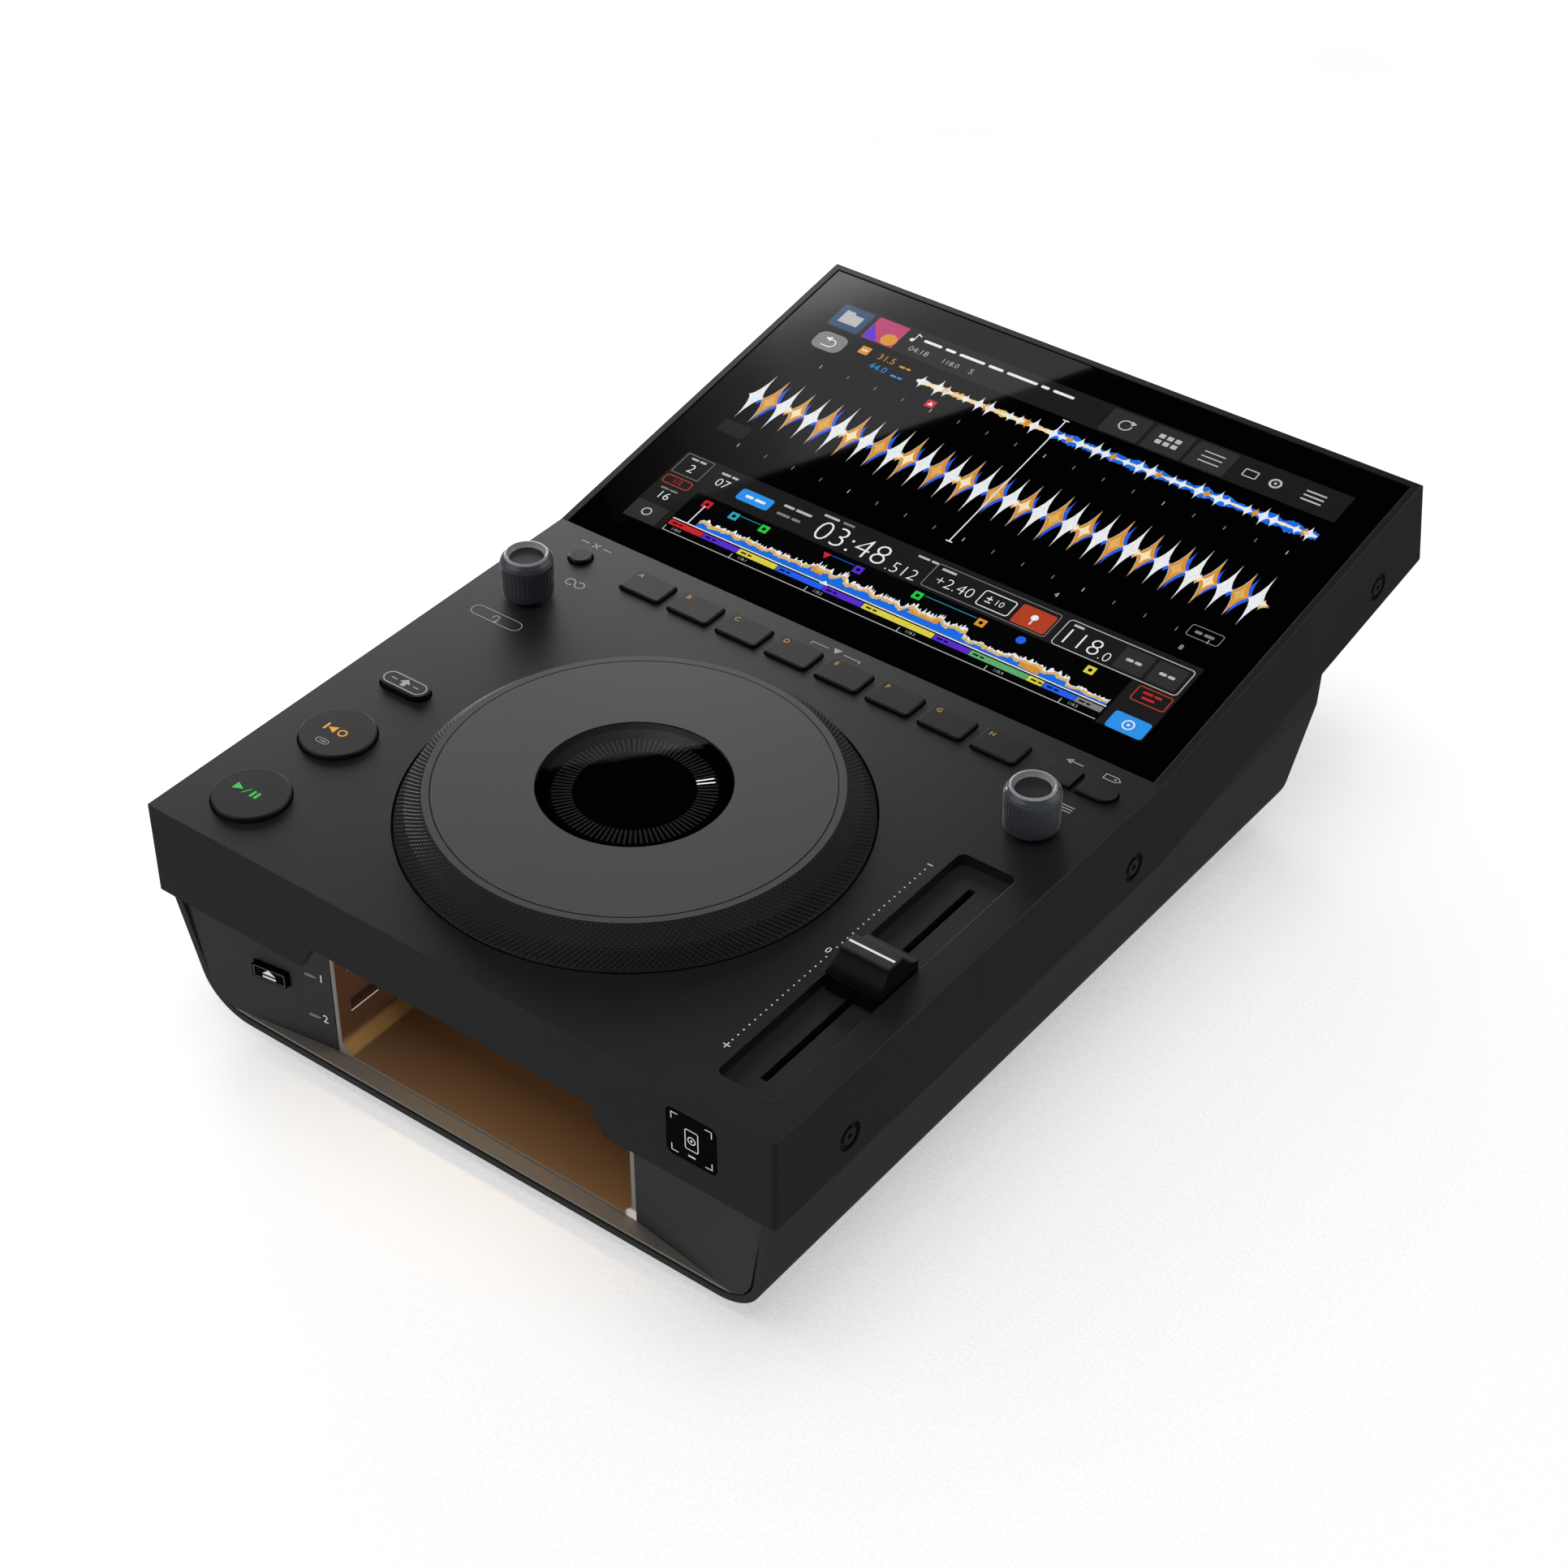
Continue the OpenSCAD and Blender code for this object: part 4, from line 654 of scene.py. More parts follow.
# ---- Printing on the left wing: port numbers, each with a small stick ----
prints = Marks(WING, 0, bright_ink)
PORT_1, PORT_2 = 29.6, 12.2  # heights over the ledge
prints.word("1", -5.6, PORT_1, 3.2)
prints.word("2", -5.6, PORT_2, 3.2)
for y in (PORT_1, PORT_2):
    prints.on(WING, 0, ink_dim, (0, y))
    prints.mark(rect(-12.0, -8.6, -0.75, 0.35))
    prints.mark(rect(-8.6, -7.6, -0.55, 0.15))

# ---- Printing on the glossy window of the skirt: four corners about a small device ----
WINDOW_Z, CORNER = -15.9, 7.4
PROUD = 0.012  # how far the ink stands out of the skirt
prints.on(SKIRT, PROUD - PRINT, bright_ink, (local("nfc_window").x, WINDOW_Z), PROUD)
for i in (-1, 1):
    for j in (-1, 1):
        x, y = i * CORNER, j * CORNER
        prints.mark(line(x, y + j * 0.15, x - i * 2.4, y + j * 0.15, 0.3))
        prints.mark(line(x, y + j * 0.3, x, y - j * 2.4, 0.3))
prints.outline(*frame_of(0, -0.2, 5.0, 8.0, 0.7, 0.32))
prints.outline(circle(0, -0.2, 1.5), circle(0, -0.2, 1.15))
prints.mark(circle(0, -0.2, 0.45, 10))
prints.mark(line(-1.3, -6.6, 1.3, -6.6, 0.6))
prints.build("front_printing", "base", "case_plastic")

# ---- Memory stick ports: rims with a painted highlight on their lower lips, and black tongues ----
SOCKET_H, SHELL = 5.7, 0.45  # height of a socket, and thickness of its metal shell
shell_mat = surface("port_shell", (0.20, 0.13, 0.10), 0.30, metal=0.25, grain=0.05)
# painted highlight: a strip along the lower lip of each socket glows
port_shine = surface("port_shine", (0.60, 0.52, 0.46), 0.30, metal=0.2, grain=0.05,
                     emit=(0.62, 0.50, 0.42), power=0.7)
# painted light: the inside of each socket and its tongue glow faintly amber
port_inside_glow = surface("port_inside", (0.022, 0.013, 0.009), 0.5, grain=0.05,
                    emit=(0.030, 0.012, 0.008), power=0.5)
lo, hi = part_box("usb_ports")
side_on = Matrix(((0, 0, 1, 0), (1, 0, 0, 0), (0, 1, 0, 0), (0, 0, 0, 1)))
SIDE = Matrix.Translation((hi.x, 0, 0)) @ side_on @ MILLI
y0, y1 = lo.y / MM, hi.y / MM
ports = Piece()
for z0 in (lo.z / MM, hi.z / MM - SOCKET_H):
    outer = rect(y0, y1, z0, z0 + SOCKET_H)
    inner = rect(y0 + SHELL, y1 - SHELL, z0 + SHELL, z0 + SOCKET_H - SHELL)
    ports.band(SIDE, outer, inner, 0.0, 0.3, shell_mat)
    ports.prism(SIDE, rect(y0 + 0.5, y1 - 0.2, z0 + 0.05, z0 + SHELL), 0.3, 0.36, port_shine)
    ports.band(SIDE, inner, rect(y0 + 0.9, y1 - 0.9, z0 + 0.9, z0 + SOCKET_H - 0.9), -4.4, -0.6, port_inside_glow)
    ports.prism(SIDE, rect(y0 + 0.92, y1 - 0.92, z0 + 1.0, z0 + 3.1), -12.8, -2.6, port_inside_glow)
ports.build("port_rims", "base", "bearing_steel")

# ---- Rear sockets: printing, coloured rings, contacts ----
backs = [f for f in nodes["rear_panel"].data.polygons if f.normal.y > 0.9]
face = max(backs, key=lambda f: f.center.dot(f.normal))
out_ = face.normal
mid_z = centre("rear_panel").z
mid_y = face.center.y - (mid_z - face.center.z) * out_.z / out_.y
REAR = Matrix(((-1, 0, out_.x, 0), (0, -out_.z, out_.y, mid_y),
               (0, out_.y, out_.z, mid_z), (0, 0, 0, 1))) @ MILLI


def behind(node):
    """Middle of a node across the rear panel, in millimetres as seen from behind."""
    return -centre(node).x / MM


inlet, power, lan, jacks = (behind(n) for n in ("power_inlet", "power_button", "lan_port", "rca_jacks"))
# signs: on and off, the mains' data as bare bars, three linked boxes
rear = Marks(REAR, 0, ink, (power, 12.2))
rear.mark(arc(0, 0, 1.5, 1.95, 130, 410))
rear.mark(line(0, 0, 0, 2.4, 0.45))
rear.on(REAR, 0, ink_dim, (inlet, 14.2))
for k, w in enumerate((5.0, 3.2, 6.4)):
    rear.mark(around(-6.2 + k * 6.6, 0, w, 0.9, 0.4, 3))
rear.on(REAR, 0, ink, (lan, 11.8))
for x, y in ((0, 1.6), (-1.9, -0.9), (1.9, -0.9)):
    rear.mark(rect(x - 0.7, x + 0.7, y - 0.6, y + 0.6))
rear.mark(rect(-1.95, 1.95, 0.1, 0.35))
# phono jacks
for side, letter, colour in ((-1, "R", (0.34, 0.015, 0.018)), (1, "L", (0.62, 0.62, 0.60))):
    x = jacks + side * 8
    rear.on(REAR, 0, ink, (x, 0))
    rear.word(letter, 0, -10.4, 2.6)
    rear.on(REAR, 0, surface("ring_" + letter.lower(), colour, 0.35), (x, 0), 0.8)
    rear.outline(circle(0, 0, 5.9, 40), circle(0, 0, 4.4, 40))
rear.on(REAR, 0, ink_dim, (jacks, 11.8))
rear.mark(around(0, 0, 15.0, 0.9, 0.4, 3))
# throat and contacts of the network port
rear.on(REAR, -12.0, black_plastic, (lan, 0), 0.2)
rear.outline(rect(-5.88, 5.88, -3.98, 3.98), rect(-5.4, 5.4, -3.5, 3.5))
rear.on(REAR, -9.0, contact, (lan, 0), -2.0)
for k in range(8):
    rear.mark(rect(-3.8 + k * 1.02, -3.34 + k * 1.02, 2.2, 3.4))
# sleeves of the mains pins
rear.on(REAR, -14.0, bright, (inlet, 0), -3.9)
for x, y in ((0, 2.0), (-7, -2.0), (7, -2.0)):
    rear.mark(rect(x - 1.05, x + 1.05, y - 2.05, y + 2.05))
rear.build("rear_sockets_detail", "base", "black_steel")

# ---- Signs on the keys ----
ROUND_TOP, SHIFT_TOP, CAP_TOP, EJECT_TOP = 1.8, 2.2, 8.4, 1.8  # heights of their tops over the deck or wing
sign = Marks(DECK, ROUND_TOP, green_ink, local("play_button"))
sign.mark([(-6.9, 1.7), (-6.9, -1.7), (-3.3, 0)])
sign.mark(line(-2.6, -1.6, -0.9, 1.6, 0.32))
for x in (0.4, 2.2):
    sign.mark(rect(x, x + 1.0, -1.5, 1.5))
sign.build("play_sign", "play_key", "key_smoke")

sign = Marks(DECK, ROUND_TOP, orange_ink, local("cue_button"))
sign.mark(rect(-5.4, -4.6, -1.4, 2.0))
sign.mark([(-0.9, 2.0), (-4.1, 0.3), (-0.9, -1.4)])
sign.outline(circle(1.9, 0.3, 1.7), circle(1.9, 0.3, 1.15))
sign.ink = ink
sign.outline(*frame_of(-0.7, -6.4, 5.2, 2.4, 1.19, 0.26))
sign.mark(line(-1.9, -6.4, 0.2, -6.4, 0.3))
sign.mark([(0.9, -6.4), (-0.1, -5.9), (-0.1, -6.9)])
sign.build("cue_sign", "cue_key", "key_smoke")

sign = Marks(DECK, SHIFT_TOP, ink, local("shift_button"))
sign.outline(*frame_of(0, 0, 17.6, 6.1, 3.04, 0.42))
sign.mark([(-2.2, -0.1), (2.2, -0.1), (0, 2.0)])
sign.mark(rect(-0.9, 0.9, -1.9, -0.1))
for s in (-1, 1):
    sign.mark(line(s * 3.4, 0, s * 5.8, 0, 0.4))
sign.build("shift_sign", "shift_key", "key_dark")

for c in PADS:
    sign = Marks(DECK, PAD_RISE, amber_ink, local("pad_" + c))
    sign.word(c.upper(), -5.4, 3.1, 2.1)
    sign.build("letter_" + c, "pad_" + c + "_key", "pad_silicone")

# white line printed on the fader cap, with a painted glow
fader_line_glow = surface("fader_line", grey(0.80), 0.35, vary=0.05, grain=0.05, emit=grey(1.0), power=0.28)
sign = Marks(DECK, CAP_TOP, fader_line_glow, fader, CAP_TOP + 0.06)
sign.mark(rect(-8.3, 8.3, -0.42, 0.42))
sign.build("fader_line", "tempo_fader", "black_plastic")

sign = Marks(WING, EJECT_TOP, bright_ink, (-25.4, 0))
sign.mark([(-2.6, 23.9), (2.6, 23.9), (0, 26.0)])
sign.mark(rect(-2.6, 2.6, 22.3, 23.1))
sign.ink = ink_dim
sign.outline(*frame_of(0, 23.8, 12.2, 4.6, 0.5, 0.16))
sign.build("eject_sign", "eject_key", "black_gloss")

# ---- Ring of ticks in the jog display, and the marker on it ----
TICKS, DIAL_Z, DIAL_IN = 90, 7.5, 19.6  # number, height, and where they start
dial = Marks(DECK, DIAL_Z, tick_mat, jog, DIAL_Z + 0.05)
for k in range(TICKS):
    dial.mark(spoke(0, 0, DIAL_IN, 26.2, (k + 0.5) * 360 / TICKS, 0.62))
dial.on(DECK, DIAL_Z + 0.06, marker, jog, DIAL_Z + 0.12)
for a in (46.0, 50.4):
    dial.mark(spoke(0, 0, DIAL_IN, 25.4, a, 0.46))
dial.build("jog_dial_ticks", "base", "lcd_black")

# ---- Touch screen: a picture in thin layers under the glass ----
PICTURE, LAYER = -0.25, 0.012  # foot of all layers, and the rise of each
GROW = 1.0504  # millimetres in one unit of the drawing
white, cream = lit("white", (0.86, 0.88, 0.90)), lit("cream", (0.95, 0.80, 0.52))
orange, gold = lit("orange", (0.72, 0.30, 0.035)), lit("gold", (0.74, 0.46, 0.14))
blue, royal = lit("blue", (0.02, 0.12, 0.85)), lit("royal", (0.01, 0.16, 0.80))
sky, red = lit("sky", (0.03, 0.30, 0.85)), lit("red", (0.62, 0.02, 0.035))
rust, green = lit("rust", (0.46, 0.055, 0.02)), lit("green", (0.02, 0.60, 0.06))
cyan, violet = lit("cyan", (0.03, 0.36, 0.52)), lit("violet", (0.10, 0.03, 0.62))
yellow, panel = lit("yellow", (0.72, 0.66, 0.07)), lit("panel", grey(0.0125))
tile, mid = lit("tile", grey(0.030)), lit("mid", grey(0.22))
pink, slate = lit("pink", (0.50, 0.05, 0.16)), lit("slate", (0.025, 0.07, 0.16))
pale, moss = lit("pale", grey(0.50)), lit("moss", (0.12, 0.42, 0.16))
black = lit("black", grey(0.0008))
ui = {}


def grown(pts):
    return [(x * GROW, y * GROW) for x, y in pts]


def draw(mat, pts, level=1):
    ui.setdefault(mat, Piece()).prism(SLOPE, grown(pts), PICTURE, PICTURE + LAYER * level, mat)


def draw_band(mat, loops, level=1):
    outer, inner = (grown(q) for q in loops)
    ui.setdefault(mat, Piece()).band(SLOPE, outer, inner, PICTURE, PICTURE + LAYER * level, mat)


def draw_ring(mat, x, y, r1, r0):
    draw_band(mat, (circle(x, y, r1), circle(x, y, r0)), 3)


def draw_text(mat, text, x, y, height, level=4, bold=-0.02):
    x, y = x * GROW, y * GROW
    top = PICTURE + LAYER * level
    ui.setdefault(mat, Piece()).write(SLOPE, text, x, y, height * GROW, PICTURE, top, mat, bold=bold * height)


def bars(mat, x, y, widths, h, gap, level=3):
    """Plain rounded bars where a display would have words."""
    for w in widths:
        draw(mat, around(x + w / 2, y, w, h, h * 0.35, 3), level)
        x += w + gap


def spike(mat, x, y, w, h, level, skew=0.0):
    """Four-pointed star with hollow sides, as a drum beat looks in a waveform."""
    pts = []
    for qx, qy in ((1, 1), (-1, 1), (-1, -1), (1, -1)):
        seq = []
        for k in range(7):
            a = math.pi / 2 * k / 6
            cx, cy = abs(math.cos(a)) ** 3.3, abs(math.sin(a)) ** 3.3
            seq.append((x + qx * w * cx + skew * qy * cy, y + qy * h * cy))
        pts += (seq if qx * qy > 0 else seq[::-1])[:-1]
    draw(mat, pts, level)


# strip with tiles along the top
draw(panel, rect(-102.5, 103.4, 127.2, 141), 1)
draw(slate, around(-95.5, 134, 13, 12, 1.2), 2)
draw(pale, [(-99.5, 131), (-91.5, 131), (-91.5, 136.4), (-95.2, 136.4), (-96, 137.6), (-99.5, 137.6)], 3)
draw(pink, around(-80.5, 134, 13, 12, 0.4), 2)
draw(orange, circle(-77.2, 131.2, 3.1, 20), 3)
draw(violet, [(-86.8, 128.2), (-80.8, 128.2), (-86.8, 136.5)], 3)
draw(white, circle(-70.2, 135.4, 0.85, 12), 3)
draw(white, line(-69.5, 135.4, -69.5, 139.2, 0.35), 3)
draw(white, line(-69.5, 139.1, -67.9, 138.2, 0.5), 3)
bars(white, -66, 137.0, (7.5, 4.2, 10.5, 6.0, 12.5, 3.2, 8.4), 1.25, 1.7)
for text, x, height in (("04:18", -64.5, 2.6), ("118.0", -51, 2.3), ("5", -42.2, 2.6)):
    draw_text(pale, text, x, 131.2, height)
for k, x in enumerate((11.5, 28.3, 45.1)):
    draw(tile, around(x + 7.7, 134, 15.4, 12.2, 0.8), 2)
draw_ring(pale, 19.2, 134, 2.6, 2.05)
draw(tile, rect(20.4, 22.6, 134.2, 136.2), 4)
draw(pale, [(20.2, 136.9), (22.6, 136.0), (20.9, 134.5)], 5)
for i in range(3):
    for j in range(2):
        draw(pale, around(32.9 + i * 3.1, 132.6 + j * 3.0, 2.2, 2.0, 0.3), 3)
        draw(pale, rect(49, 57, 131.4 + i * 2.4, 131.9 + i * 2.4), 3)
draw_band(pale, frame_of(68, 134, 5.4, 3.8, 0.6, 0.45), 3)
draw_ring(pale, 77.5, 134, 2.3, 1.5)
draw(pale, circle(77.5, 134, 0.6, 12), 3)
for k in range(3):
    draw(pale, rect(88, 95.5, 131.8 + k * 2.1, 132.5 + k * 2.1), 3)
# return tile and counters
draw(mid, around(-94.8, 120.0, 12.4, 9.4, 3.4), 1)
draw(white, arc(-94.2, 119.6, 1.7, 2.15, -90, 110), 2)
draw(white, rect(-97.2, -94.2, 117.45, 117.9), 2)
draw(white, [(-95.0, 120.4), (-95.0, 122.8), (-97.4, 121.6)], 2)
draw(orange, around(-81.2, 122.4, 4.0, 4.0, 0.3), 1)
draw(white, rect(-82.4, -80.0, 122.1, 122.7), 2)
for mat, text, y in ((orange, "31.5", 122.2), (sky, "44.0", 116.8)):
    draw_text(mat, text, -71.6, y, 3.0)
    bars(mat, -65.6, y - 0.8, (2.4, 1.8), 0.9, 0.5)

# small waveform above, in two colours on both sides of the play line
YS, YB, BEAT = 118.5, 83.5, 5.9  # middles of both waveforms, and the step from beat to beat


def envelope(x, seed):
    """How loud a waveform is along the track."""
    return 0.45 + 0.55 * abs(math.sin(x * 0.37 + seed)) * abs(math.sin(x * 0.11 + seed * 2.1))


def body(mat, x0, x1, y, amp, step, level, seed, sharp=0.5):
    """Ragged stretch of a waveform; sharp is the share of its height that chance decides."""
    up, down, x = [], [], x0
    r = random.Random(seed)
    while x <= x1:
        a = amp * envelope(x, seed) * (1 - sharp + sharp * r.random())
        up.append((x, y + a))
        down.append((x, y - a * (0.8 + 0.3 * r.random())))
        x += step
    draw(mat, up + down[::-1], level)


body(gold, -56.0, 0.2, YS, 2.1, 0.9, 2, 3)
body(cream, -56.0, 0.2, YS, 1.5, 0.7, 3, 5)
body(royal, 0.8, 102.8, YS, 3.4, 0.8, 2, 8, 0.25)
body(cream, 0.8, 102.8, YS, 1.1, 0.7, 3, 9)
for k in range(27):
    x = -54 + k * BEAT + 1.4 * math.sin(k * 2.3)
    if x < 101:
        spike(white, x, YS, 2.3, 3.5 + 1.2 * math.sin(k * 1.7), 4)
        if k % 3 == 1:
            spike(orange, x + 3, YS, 2.0, 2.6, 4)
draw(red, around(-44.6, 110.4, 3.6, 3.6, 0.3), 2)
draw(white, [(-45.6, 109.6), (-43.6, 109.6), (-44.6, 111.4)], 3)
# large waveform: white beats, and between them orange ones over blue, in a pattern of four
k = 0
x = -99.6
while x < 101.5:
    swell = 1 + 0.06 * math.sin(k * 1.3)
    kind = k % 4
    if kind in (0, 2):
        tail = blue if kind == 0 else gold
        spike(tail, x + 2.4, YB - 0.9, 2.9, 2.6, 3)
        spike(white, x, YB, 3.1, 12.4 * swell, 6)
        spike(cream, x + (0.6 if kind == 0 else 2.6), YB - 0.2, 2.4, 1.9, 5)
    else:
        strong = 1.0 if kind == 1 else 0.72
        spike(blue, x + 1.25, YB - 0.4, 4.1, 10.6 * swell * strong, 2, 0.5)
        spike(pale, x - 0.25, YB, 3.7, 11.8 * swell, 3)
        spike(orange, x, YB, 3.7, 11.4 * swell, 4)
        spike(cream if kind == 3 else gold, x - 0.1, YB - 0.2, 2.6, 4.6 * swell, 5)
    k += 1
    x += BEAT
for row in (107.5, 60.0):
    for k in range(-8, 9):
        x = k * 11.7 + 4.2
        draw(mid if k % 4 else pale, rect(x - 0.16, x + 0.16, row - 0.9, row + 0.9), 1)
for text, x in (("4", 45.0), ("8", 91.8)):
    draw_text(pale, text, x, 53.6, 2.2)
for q in ((0.35, 0.75, 57, 126), (-0.7, 1.8, 56.7, 57.1), (-0.7, 1.8, 125.8, 126.2)):
    draw(white, rect(*q), 7)
draw(panel, around(-95.8, 66, 11.5, 6.2, 1.2), 1)
draw_band(mid, frame_of(95.5, 62.0, 12, 5.4, 1.0, 0.3), 1)
bars(mid, 91.8, 62.0, (2.6, 3.6), 1.2, 0.8, 2)

# bottom band
draw(panel, rect(-102.5, 103.4, 12.7, 49.0), 1)
draw_band(mid, frame_of(-95.8, 43.2, 11.4, 10.4, 0.3, 0.25), 2)
draw_text(white, "2", -95.8, 42.0, 4.0)
bars(pale, -99.0, 46.6, (3.0, 2.6), 0.9, 0.6)
draw_band(rust, frame_of(-95.8, 34.4, 11.4, 4.4, 1.4, 0.4), 2)
draw_text(red, "1/2", -95.8, 34.4, 2.2)
draw_text(white, "16", -95.8, 26.6, 3.6)
bars(mid, -99.4, 30.0, (3.4, 3.2), 0.8, 0.5)
draw(tile, around(-95.8, 17.4, 13.2, 8.8, 0.3), 2)
draw_ring(pale, -95.8, 17.6, 1.9, 1.4)
draw_text(white, "07", -82.0, 41.4, 3.8)
bars(pale, -85.4, 45.8, (3.8, 2.6), 1.0, 0.6)
draw(sky, around(-67.5, 40.8, 13.4, 5.6, 1.2), 2)
bars(white, -71.4, 40.8, (3.2, 4.2), 1.2, 0.8)
bars(pale, -57.2, 43.6, (4.2, 6.4), 1.1, 0.8)
bars(mid, -57.2, 39.4, (5.4, 3.4), 1.1, 0.8)
draw_text(white, "03:48", -26.5, 39.6, 9.4, bold=-0.032)
draw_text(white, ".512", -4.6, 37.4, 5.0, bold=-0.03)
bars(pale, -42.6, 46.6, (6.2,), 1.0, 0.7)
bars(mid, -34.8, 46.6, (4.6,), 1.0, 0.7)
bars(pale, -4.0, 46.2, (4.6, 2.8), 0.9, 0.7)
draw_band(mid, frame_of(28.2, 41.0, 48.4, 11.6, 1.2, 0.3), 2)
bars(pale, 6.4, 45.0, (5.6,), 1.0, 0.7)
draw_text(white, "+2.40", 14.6, 39.8, 4.6, bold=-0.03)
draw_band(white, frame_of(30.6, 40.6, 12.6, 7.4, 1.2, 0.35), 3)
draw_text(white, "10", 31.6, 40.6, 2.6)
for q in ((26.6, 28.8, 40.9, 41.3), (27.5, 27.9, 40.3, 42.3), (26.6, 28.8, 39.3, 39.7)):
    draw(white, rect(*q), 4)
draw(rust, around(45.0, 40.6, 13.0, 9.0, 0.9), 3)
draw(white, circle(45.0, 41.2, 1.3, 16), 4)
draw(white, rect(44.75, 45.25, 37.8, 40.2), 4)
draw_band(pale, frame_of(78.6, 40.6, 47.0, 12.6, 1.6, 0.35), 2)
bars(pale, 57.6, 45.0, (3.8,), 1.0, 0.7)
draw_text(white, "118", 63.6, 39.4, 7.2, bold=-0.03)
draw_text(white, ".0", 73.6, 37.8, 4.2, bold=-0.03)
for x in (82.8, 95.0):
    draw(tile, around(x, 40.6, 10.8, 9.8, 0.6), 3)
    bars(pale, x - 2.8, 40.6, (2.6, 2.4), 1.2, 0.6, 4)
draw_band(rust, frame_of(96.2, 29.8, 12.6, 6.8, 1.0, 0.4), 2)
bars(red, 92.4, 31.0, (3.6, 2.6), 0.9, 0.6)
bars(red, 93.2, 28.8, (4.6,), 0.9, 0.6)
draw(sky, around(96.2, 16.6, 13.4, 7.6, 1.2), 2)
draw_ring(white, 96.2, 16.6, 2.1, 1.6)
draw(white, circle(96.2, 16.6, 0.5, 12), 3)
# overview of the whole track, from how loud each stretch of it is
draw(black, rect(-86.6, 86.6, 12.7, 34.0), 2)
LOUD = ((-78, -64, 0.55), (-64, -34, 0.62), (-34, -18, 0.9), (-18, 6, 0.72), (6, 30, 0.9), (30, 48, 0.42),
        (48, 70, 0.66), (70, 86, 0.34))


def level_at(q):
    for a, b, v in LOUD:
        if a <= q < b:
            return v
    return 0.3


base, right = 20.2, 85.6
r = random.Random(4)
tops = []
x = -77.0
while x < right:
    v = level_at(x) * (0.82 + 0.18 * math.sin(x * 0.9) * math.sin(x * 0.23))
    tops.append((x, base + 6.4 * v))
    x += 0.42
jag = [(x, y + 0.3 + 2.6 * r.random() ** 2 * level_at(x)) for x, y in tops]
gold_top = [(x, y - 0.3 + 0.7 * r.random()) for x, y in tops]
blue_top = [(x, y - 0.9 - 1.1 * r.random() * level_at(x)) for x, y in tops]
for mat, top, lvl in ((white, jag, 3), (gold, gold_top, 4), (royal, blue_top, 5)):
    draw(mat, [(top[0][0], base)] + [(top[-1][0], base)] + top[::-1], lvl)
for a, b in ((-31, -26), (8, 20), (52, 60)):
    seg = [(x, y) for x, y in blue_top if a <= x <= b]
    (xa, ya), (xb, yb) = seg[0], seg[-1]
    draw(orange, [(xa, ya - 1.6), (xb, yb - 1.6)] + [(x, y + 0.2) for x, y in seg[::-1]], 6)
draw(white, rect(-86.0, 86.0, 19.6, 20.0), 7)
draw(white, rect(-80.3, -79.9, 20, 29.6), 7)
cells = ((-86, -72, red), (-72, -57, violet), (-57, -41, yellow), (-41, -22, blue), (-22, -6, violet),
         (-6, 22, yellow), (22, 36, violet), (36, 58, moss), (58, 64, yellow), (64, 76, blue), (76, 86, mid))
for a, b, mat in cells:
    draw(mat, rect(a, b - 0.25, 16.6, 19.0), 3)
    bars(black, a + 1.2, 17.8, (2.2, 1.6), 0.7, 0.5, 4)
draw(white, [(-24.6, 19.2), (-21.4, 19.2), (-23, 21.0)], 8)
draw(pale, rect(-86, 86, 13.4, 13.7), 3)
for x in (-86, -58, -27, 10, 44, 72):
    draw_text(pale, ("%.1f" % (118 + (x + 86) * 0.003)), x + 4.6, 15.2, 1.2)
    draw(pale, rect(x, x + 0.3, 13.4, 15.8), 3)
marks = ((-80.0, red, "square"), (-68.6, cyan, "square"), (-56.0, green, "square"), (-30.4, red, "wedge"),
         (-17.2, violet, "square"), (6.6, green, "square"), (31.4, orange, "square"), (46.8, blue, "dot"),
         (73.0, yellow, "square"))
for x, mat, kind in marks:
    if kind == "square":
        draw(mat, around(x, 30.6, 3.4, 3.4, 0.25), 4)
        draw(black, circle(x, 30.6, 0.8, 8), 5)
    elif kind == "wedge":
        draw(mat, [(x - 1.6, 32.0), (x + 1.6, 32.0), (x, 29.2)], 4)
    else:
        draw(mat, circle(x, 30.6, 1.7, 20), 4)
for mat, a, b in ((cyan, -66.4, -58.2), (cyan, 9.0, 29.0), (blue, -28.4, -19.4)):
    draw(mat, rect(a, b, 31.6, 31.85), 3)

screen_pieces = [piece.build("screen_" + mat.name[3:], "base", "screen_glass") for mat, piece in ui.items()]


# ---- Studio ----
def card(name, mat, corners, place=Matrix.Identity(4)):
    """A flat card that belongs to the studio and not to the player."""
    me = bpy.data.meshes.new(name)
    me.from_pydata([(x, y, 0) for x, y in corners], [], [[0, 1, 2, 3]])
    me.materials.append(mat)
    ob = bpy.data.objects.new(name, me)
    scene.collection.objects.link(ob)
    ob.matrix_world = place
    return ob


def ramp(nt, value, a, b, stops):
    """A level that follows the stops while the value goes from a to b."""
    n = new(nt, "ValToRGB")
    r = n.color_ramp
    while len(r.elements) > 1:
        r.elements.remove(r.elements[-1])
    r.elements[0].position = stops[0][0]
    r.elements[0].color = (*grey(stops[0][1]), 1)
    for place, level in stops[1:]:
        r.elements.new(place).color = (*grey(level), 1)
    link(nt, above(nt, value, a, b), n.inputs["Fac"])
    return n.outputs["Color"]


def shining(name, colour, level):
    """Material of a card that only gives light; level makes its strength from the place on the card."""
    m = bpy.data.materials.new(name)
    m.use_nodes = True
    nt = m.node_tree
    nt.nodes.remove(nt.nodes["Principled BSDF"])
    em = new(nt, "Emission", Color=(*colour, 1))
    link(nt, level(nt), em.inputs["Strength"])
    link(nt, em.outputs["Emission"], nt.nodes["Material Output"].inputs["Surface"])
    return m


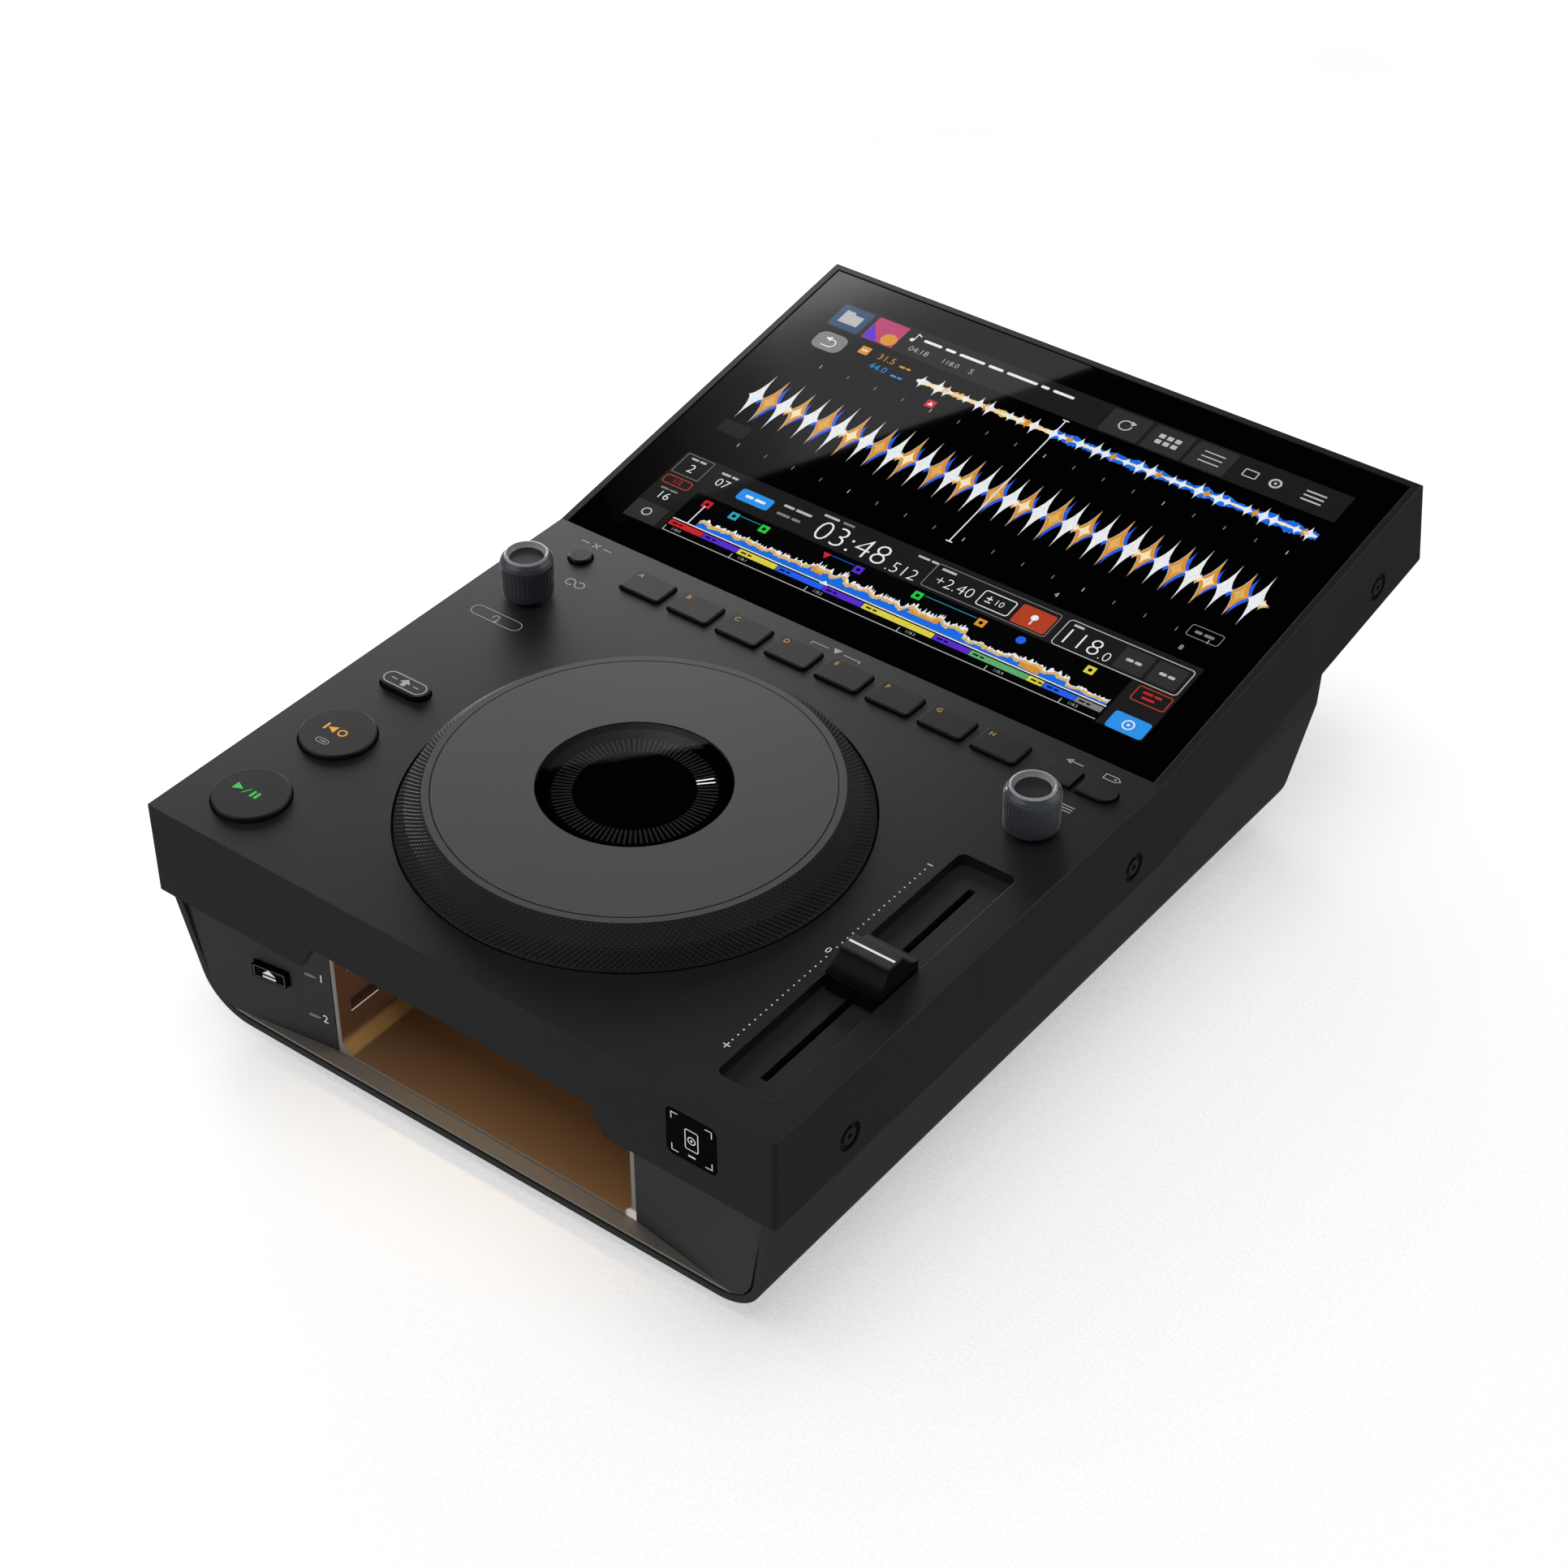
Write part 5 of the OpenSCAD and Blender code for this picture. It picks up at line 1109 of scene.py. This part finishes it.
def pale_floor():
    """Floor that shines by itself, and more so away from the player, where it looks white."""
    m = surface("pale_floor", grey(0.86), 0.9, spec=0.1, vary=0.01, grain=0.05, size=300.0,
                emit=grey(1.0), power=1.0)
    nt = m.node_tree
    away = new(nt, "VectorMath")
    away.operation = "LENGTH"
    link(nt, coords(nt), away.inputs[0])
    level = span(nt, away.outputs["Value"], 0.55, 0.82, 0.55, 1.2)
    link(nt, level, nt.nodes["Principled BSDF"].inputs["Emission Strength"])
    return m


floor = card("floor", pale_floor(), rect(-30, 30, -30, 30))
floor.visible_glossy = False

CARDS = math.radians(135)  # way from the jog wheel to both cards, left and behind


def facing(distance):
    """Frame of a card at a distance from the jog wheel, in metres: X runs along it and Y up."""
    c, s = math.cos(CARDS), math.sin(CARDS)
    pos = DECK @ Vector((jog.x, jog.y, 0)) + Vector((c, s, 0)) * distance
    return Matrix(((-s, 0, -c, pos.x), (c, 0, -s, pos.y), (0, 1, 0, pos.z), (0, 0, 0, 1)))


def soft_level(nt):
    x, y = axes(nt)[:2]
    fade = ramp(nt, x, -0.20, 0.06, (
        (0.0, 1.0), (0.54, 1.0), (0.58, 0.8), (0.623, 0.58), (0.70, 0.42), (0.77, 0.28), (0.81, 0.17),
        (0.87, 0.11), (1.0, 0.03)))
    rise = ramp(nt, y, 0.25, 0.445, (
        (0.0, 1.0), (0.36, 1.0), (0.41, 0.79), (0.45, 0.60), (0.49, 0.44), (0.55, 0.333), (0.615, 0.27),
        (0.66, 0.258), (1.0, 0.258)))
    return mul(nt, fade, rise)


def low_level(nt):
    x, y = axes(nt)[:2]
    wide = ramp(nt, x, -0.46, 0.34, (
        (0.0, 0.07), (0.25, 0.15), (0.38, 0.50), (0.48, 0.74), (0.56, 0.53), (0.64, 0.40), (0.78, 0.72),
        (1.0, 0.78)))
    return mul(nt, span(nt, y, 8.4, 1.8, 0.10, 0.30), wide)


# high card, which shows only in gloss, as in the glass of the screen
soft_card = card("soft_card", shining("soft_card", grey(2.4), soft_level),
                 [(-0.26, 0.305), (0.055, 0.305), (0.055, 0.453), (-0.26, 0.4264)], facing(0.565))
soft_card.visible_camera = False
soft_card.visible_shadow = False
soft_card.visible_diffuse = False

# wide low card, which lights the deck from behind and spares the polished glass
low_card = card("low_card", shining("low_card", grey(1.0), low_level),
                rect(-0.46, 0.34, 0.02, 0.29), facing(0.60))
low_card.visible_camera = False
spared = bpy.data.collections.new("polished_glass")
for ob in [nodes["touch_glass"], nodes["jog_display_lens"]] + screen_pieces:
    spared.objects.link(ob)
for member in spared.collection_objects:
    member.light_linking.link_state = "EXCLUDE"
low_card.light_linking.receiver_collection = spared


def softbox(name, where, target, size, power, colour=(1, 1, 1), glossy=True):
    """Rectangular lamp at one place, turned to another."""
    li = bpy.data.lights.new(name, "AREA")
    li.shape = "RECTANGLE"
    li.size, li.size_y = size
    li.energy = power
    li.color = colour
    ob = bpy.data.objects.new(name, li)
    scene.collection.objects.link(ob)
    ob.location = where
    ob.rotation_euler = (Vector(target) - Vector(where)).to_track_quat("-Z", "Y").to_euler()
    ob.visible_camera = False
    ob.visible_glossy = glossy


softbox("overhead", (0.2, -0.1, 2.6), (0, 0, 0), (1.8, 1.8), 23, glossy=False)
bar = centre("bay_light_bar")
under_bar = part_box("bay_light_bar")[0].z - 0.0006
softbox("bay_lamp", (bar.x, bar.y, under_bar), (bar.x, bar.y, 0), (0.1, 0.006), 0.0075, (1.0, 0.70, 0.40))


def surround():
    """World: white to the camera, soft light from the left and below, and a dim room in the gloss."""
    world = bpy.data.worlds.new("studio")
    scene.world = world
    world.use_nodes = True
    world.cycles.sampling_method = "NONE"
    nt = world.node_tree
    back = put(nt.nodes["Background"], Color=(1, 1, 1, 1))
    way = new(nt, "TexCoord").outputs["Generated"]
    sep = new(nt, "SeparateXYZ")
    link(nt, way, sep.inputs[0])
    x, z = sep.outputs["X"], sep.outputs["Z"]
    soft = mul(nt, span(nt, x, 0.66, 0.05, -0.7, 0.7), span(nt, z, 1.5, 0.8, -0.6, 0.4))
    shine = mul(nt, span(nt, z, 0.13, 0.004, -0.20, 0.25), span(nt, x, 1.2, 0.55, -0.6, 0.6))
    for aim, most in (((0.6, 0.65, 0.48), 0.5), ((-0.48, -0.6, 0.65), 0.45)):
        dot = new(nt, "VectorMath")
        dot.operation = "DOT_PRODUCT"
        dot.inputs[1].default_value = aim
        link(nt, way, dot.inputs[0])
        shine = combine(nt, "ADD", shine, span(nt, dot.outputs["Value"], 0.0, most, 0.80, 0.97))
    rays = new(nt, "LightPath")
    inner = new(nt, "Mix")
    link(nt, rays.outputs["Is Glossy Ray"], inner.inputs["Factor"])
    link(nt, soft, inner.inputs["A"])
    link(nt, shine, inner.inputs["B"])
    outer = new(nt, "Mix", B=1.0)
    link(nt, rays.outputs["Is Camera Ray"], outer.inputs["Factor"])
    link(nt, inner.outputs["Result"], outer.inputs["A"])
    link(nt, outer.outputs["Result"], back.inputs["Strength"])


surround()

# ---- Camera, solved from the straight edges of the photo ----
LENS, SENSOR = 75.6, 36.0
YAW, NOD, ROLL = math.radians(37.519), math.radians(51.277), math.radians(-0.161)
EYE = (0.52513, front - 0.51621, deck_z + 0.65327)
cam = bpy.data.cameras.new("camera")
cam.lens = LENS
cam.sensor_width = SENSOR
cam.sensor_fit = "HORIZONTAL"
cam.clip_end = 100
cob = bpy.data.objects.new("camera", cam)
scene.collection.objects.link(cob)
turn = Matrix.Rotation(YAW, 4, "Z") @ Matrix.Rotation(NOD, 4, "X") @ Matrix.Rotation(ROLL, 4, "Z")
cob.matrix_world = Matrix.Translation(EYE) @ turn
scene.camera = cob
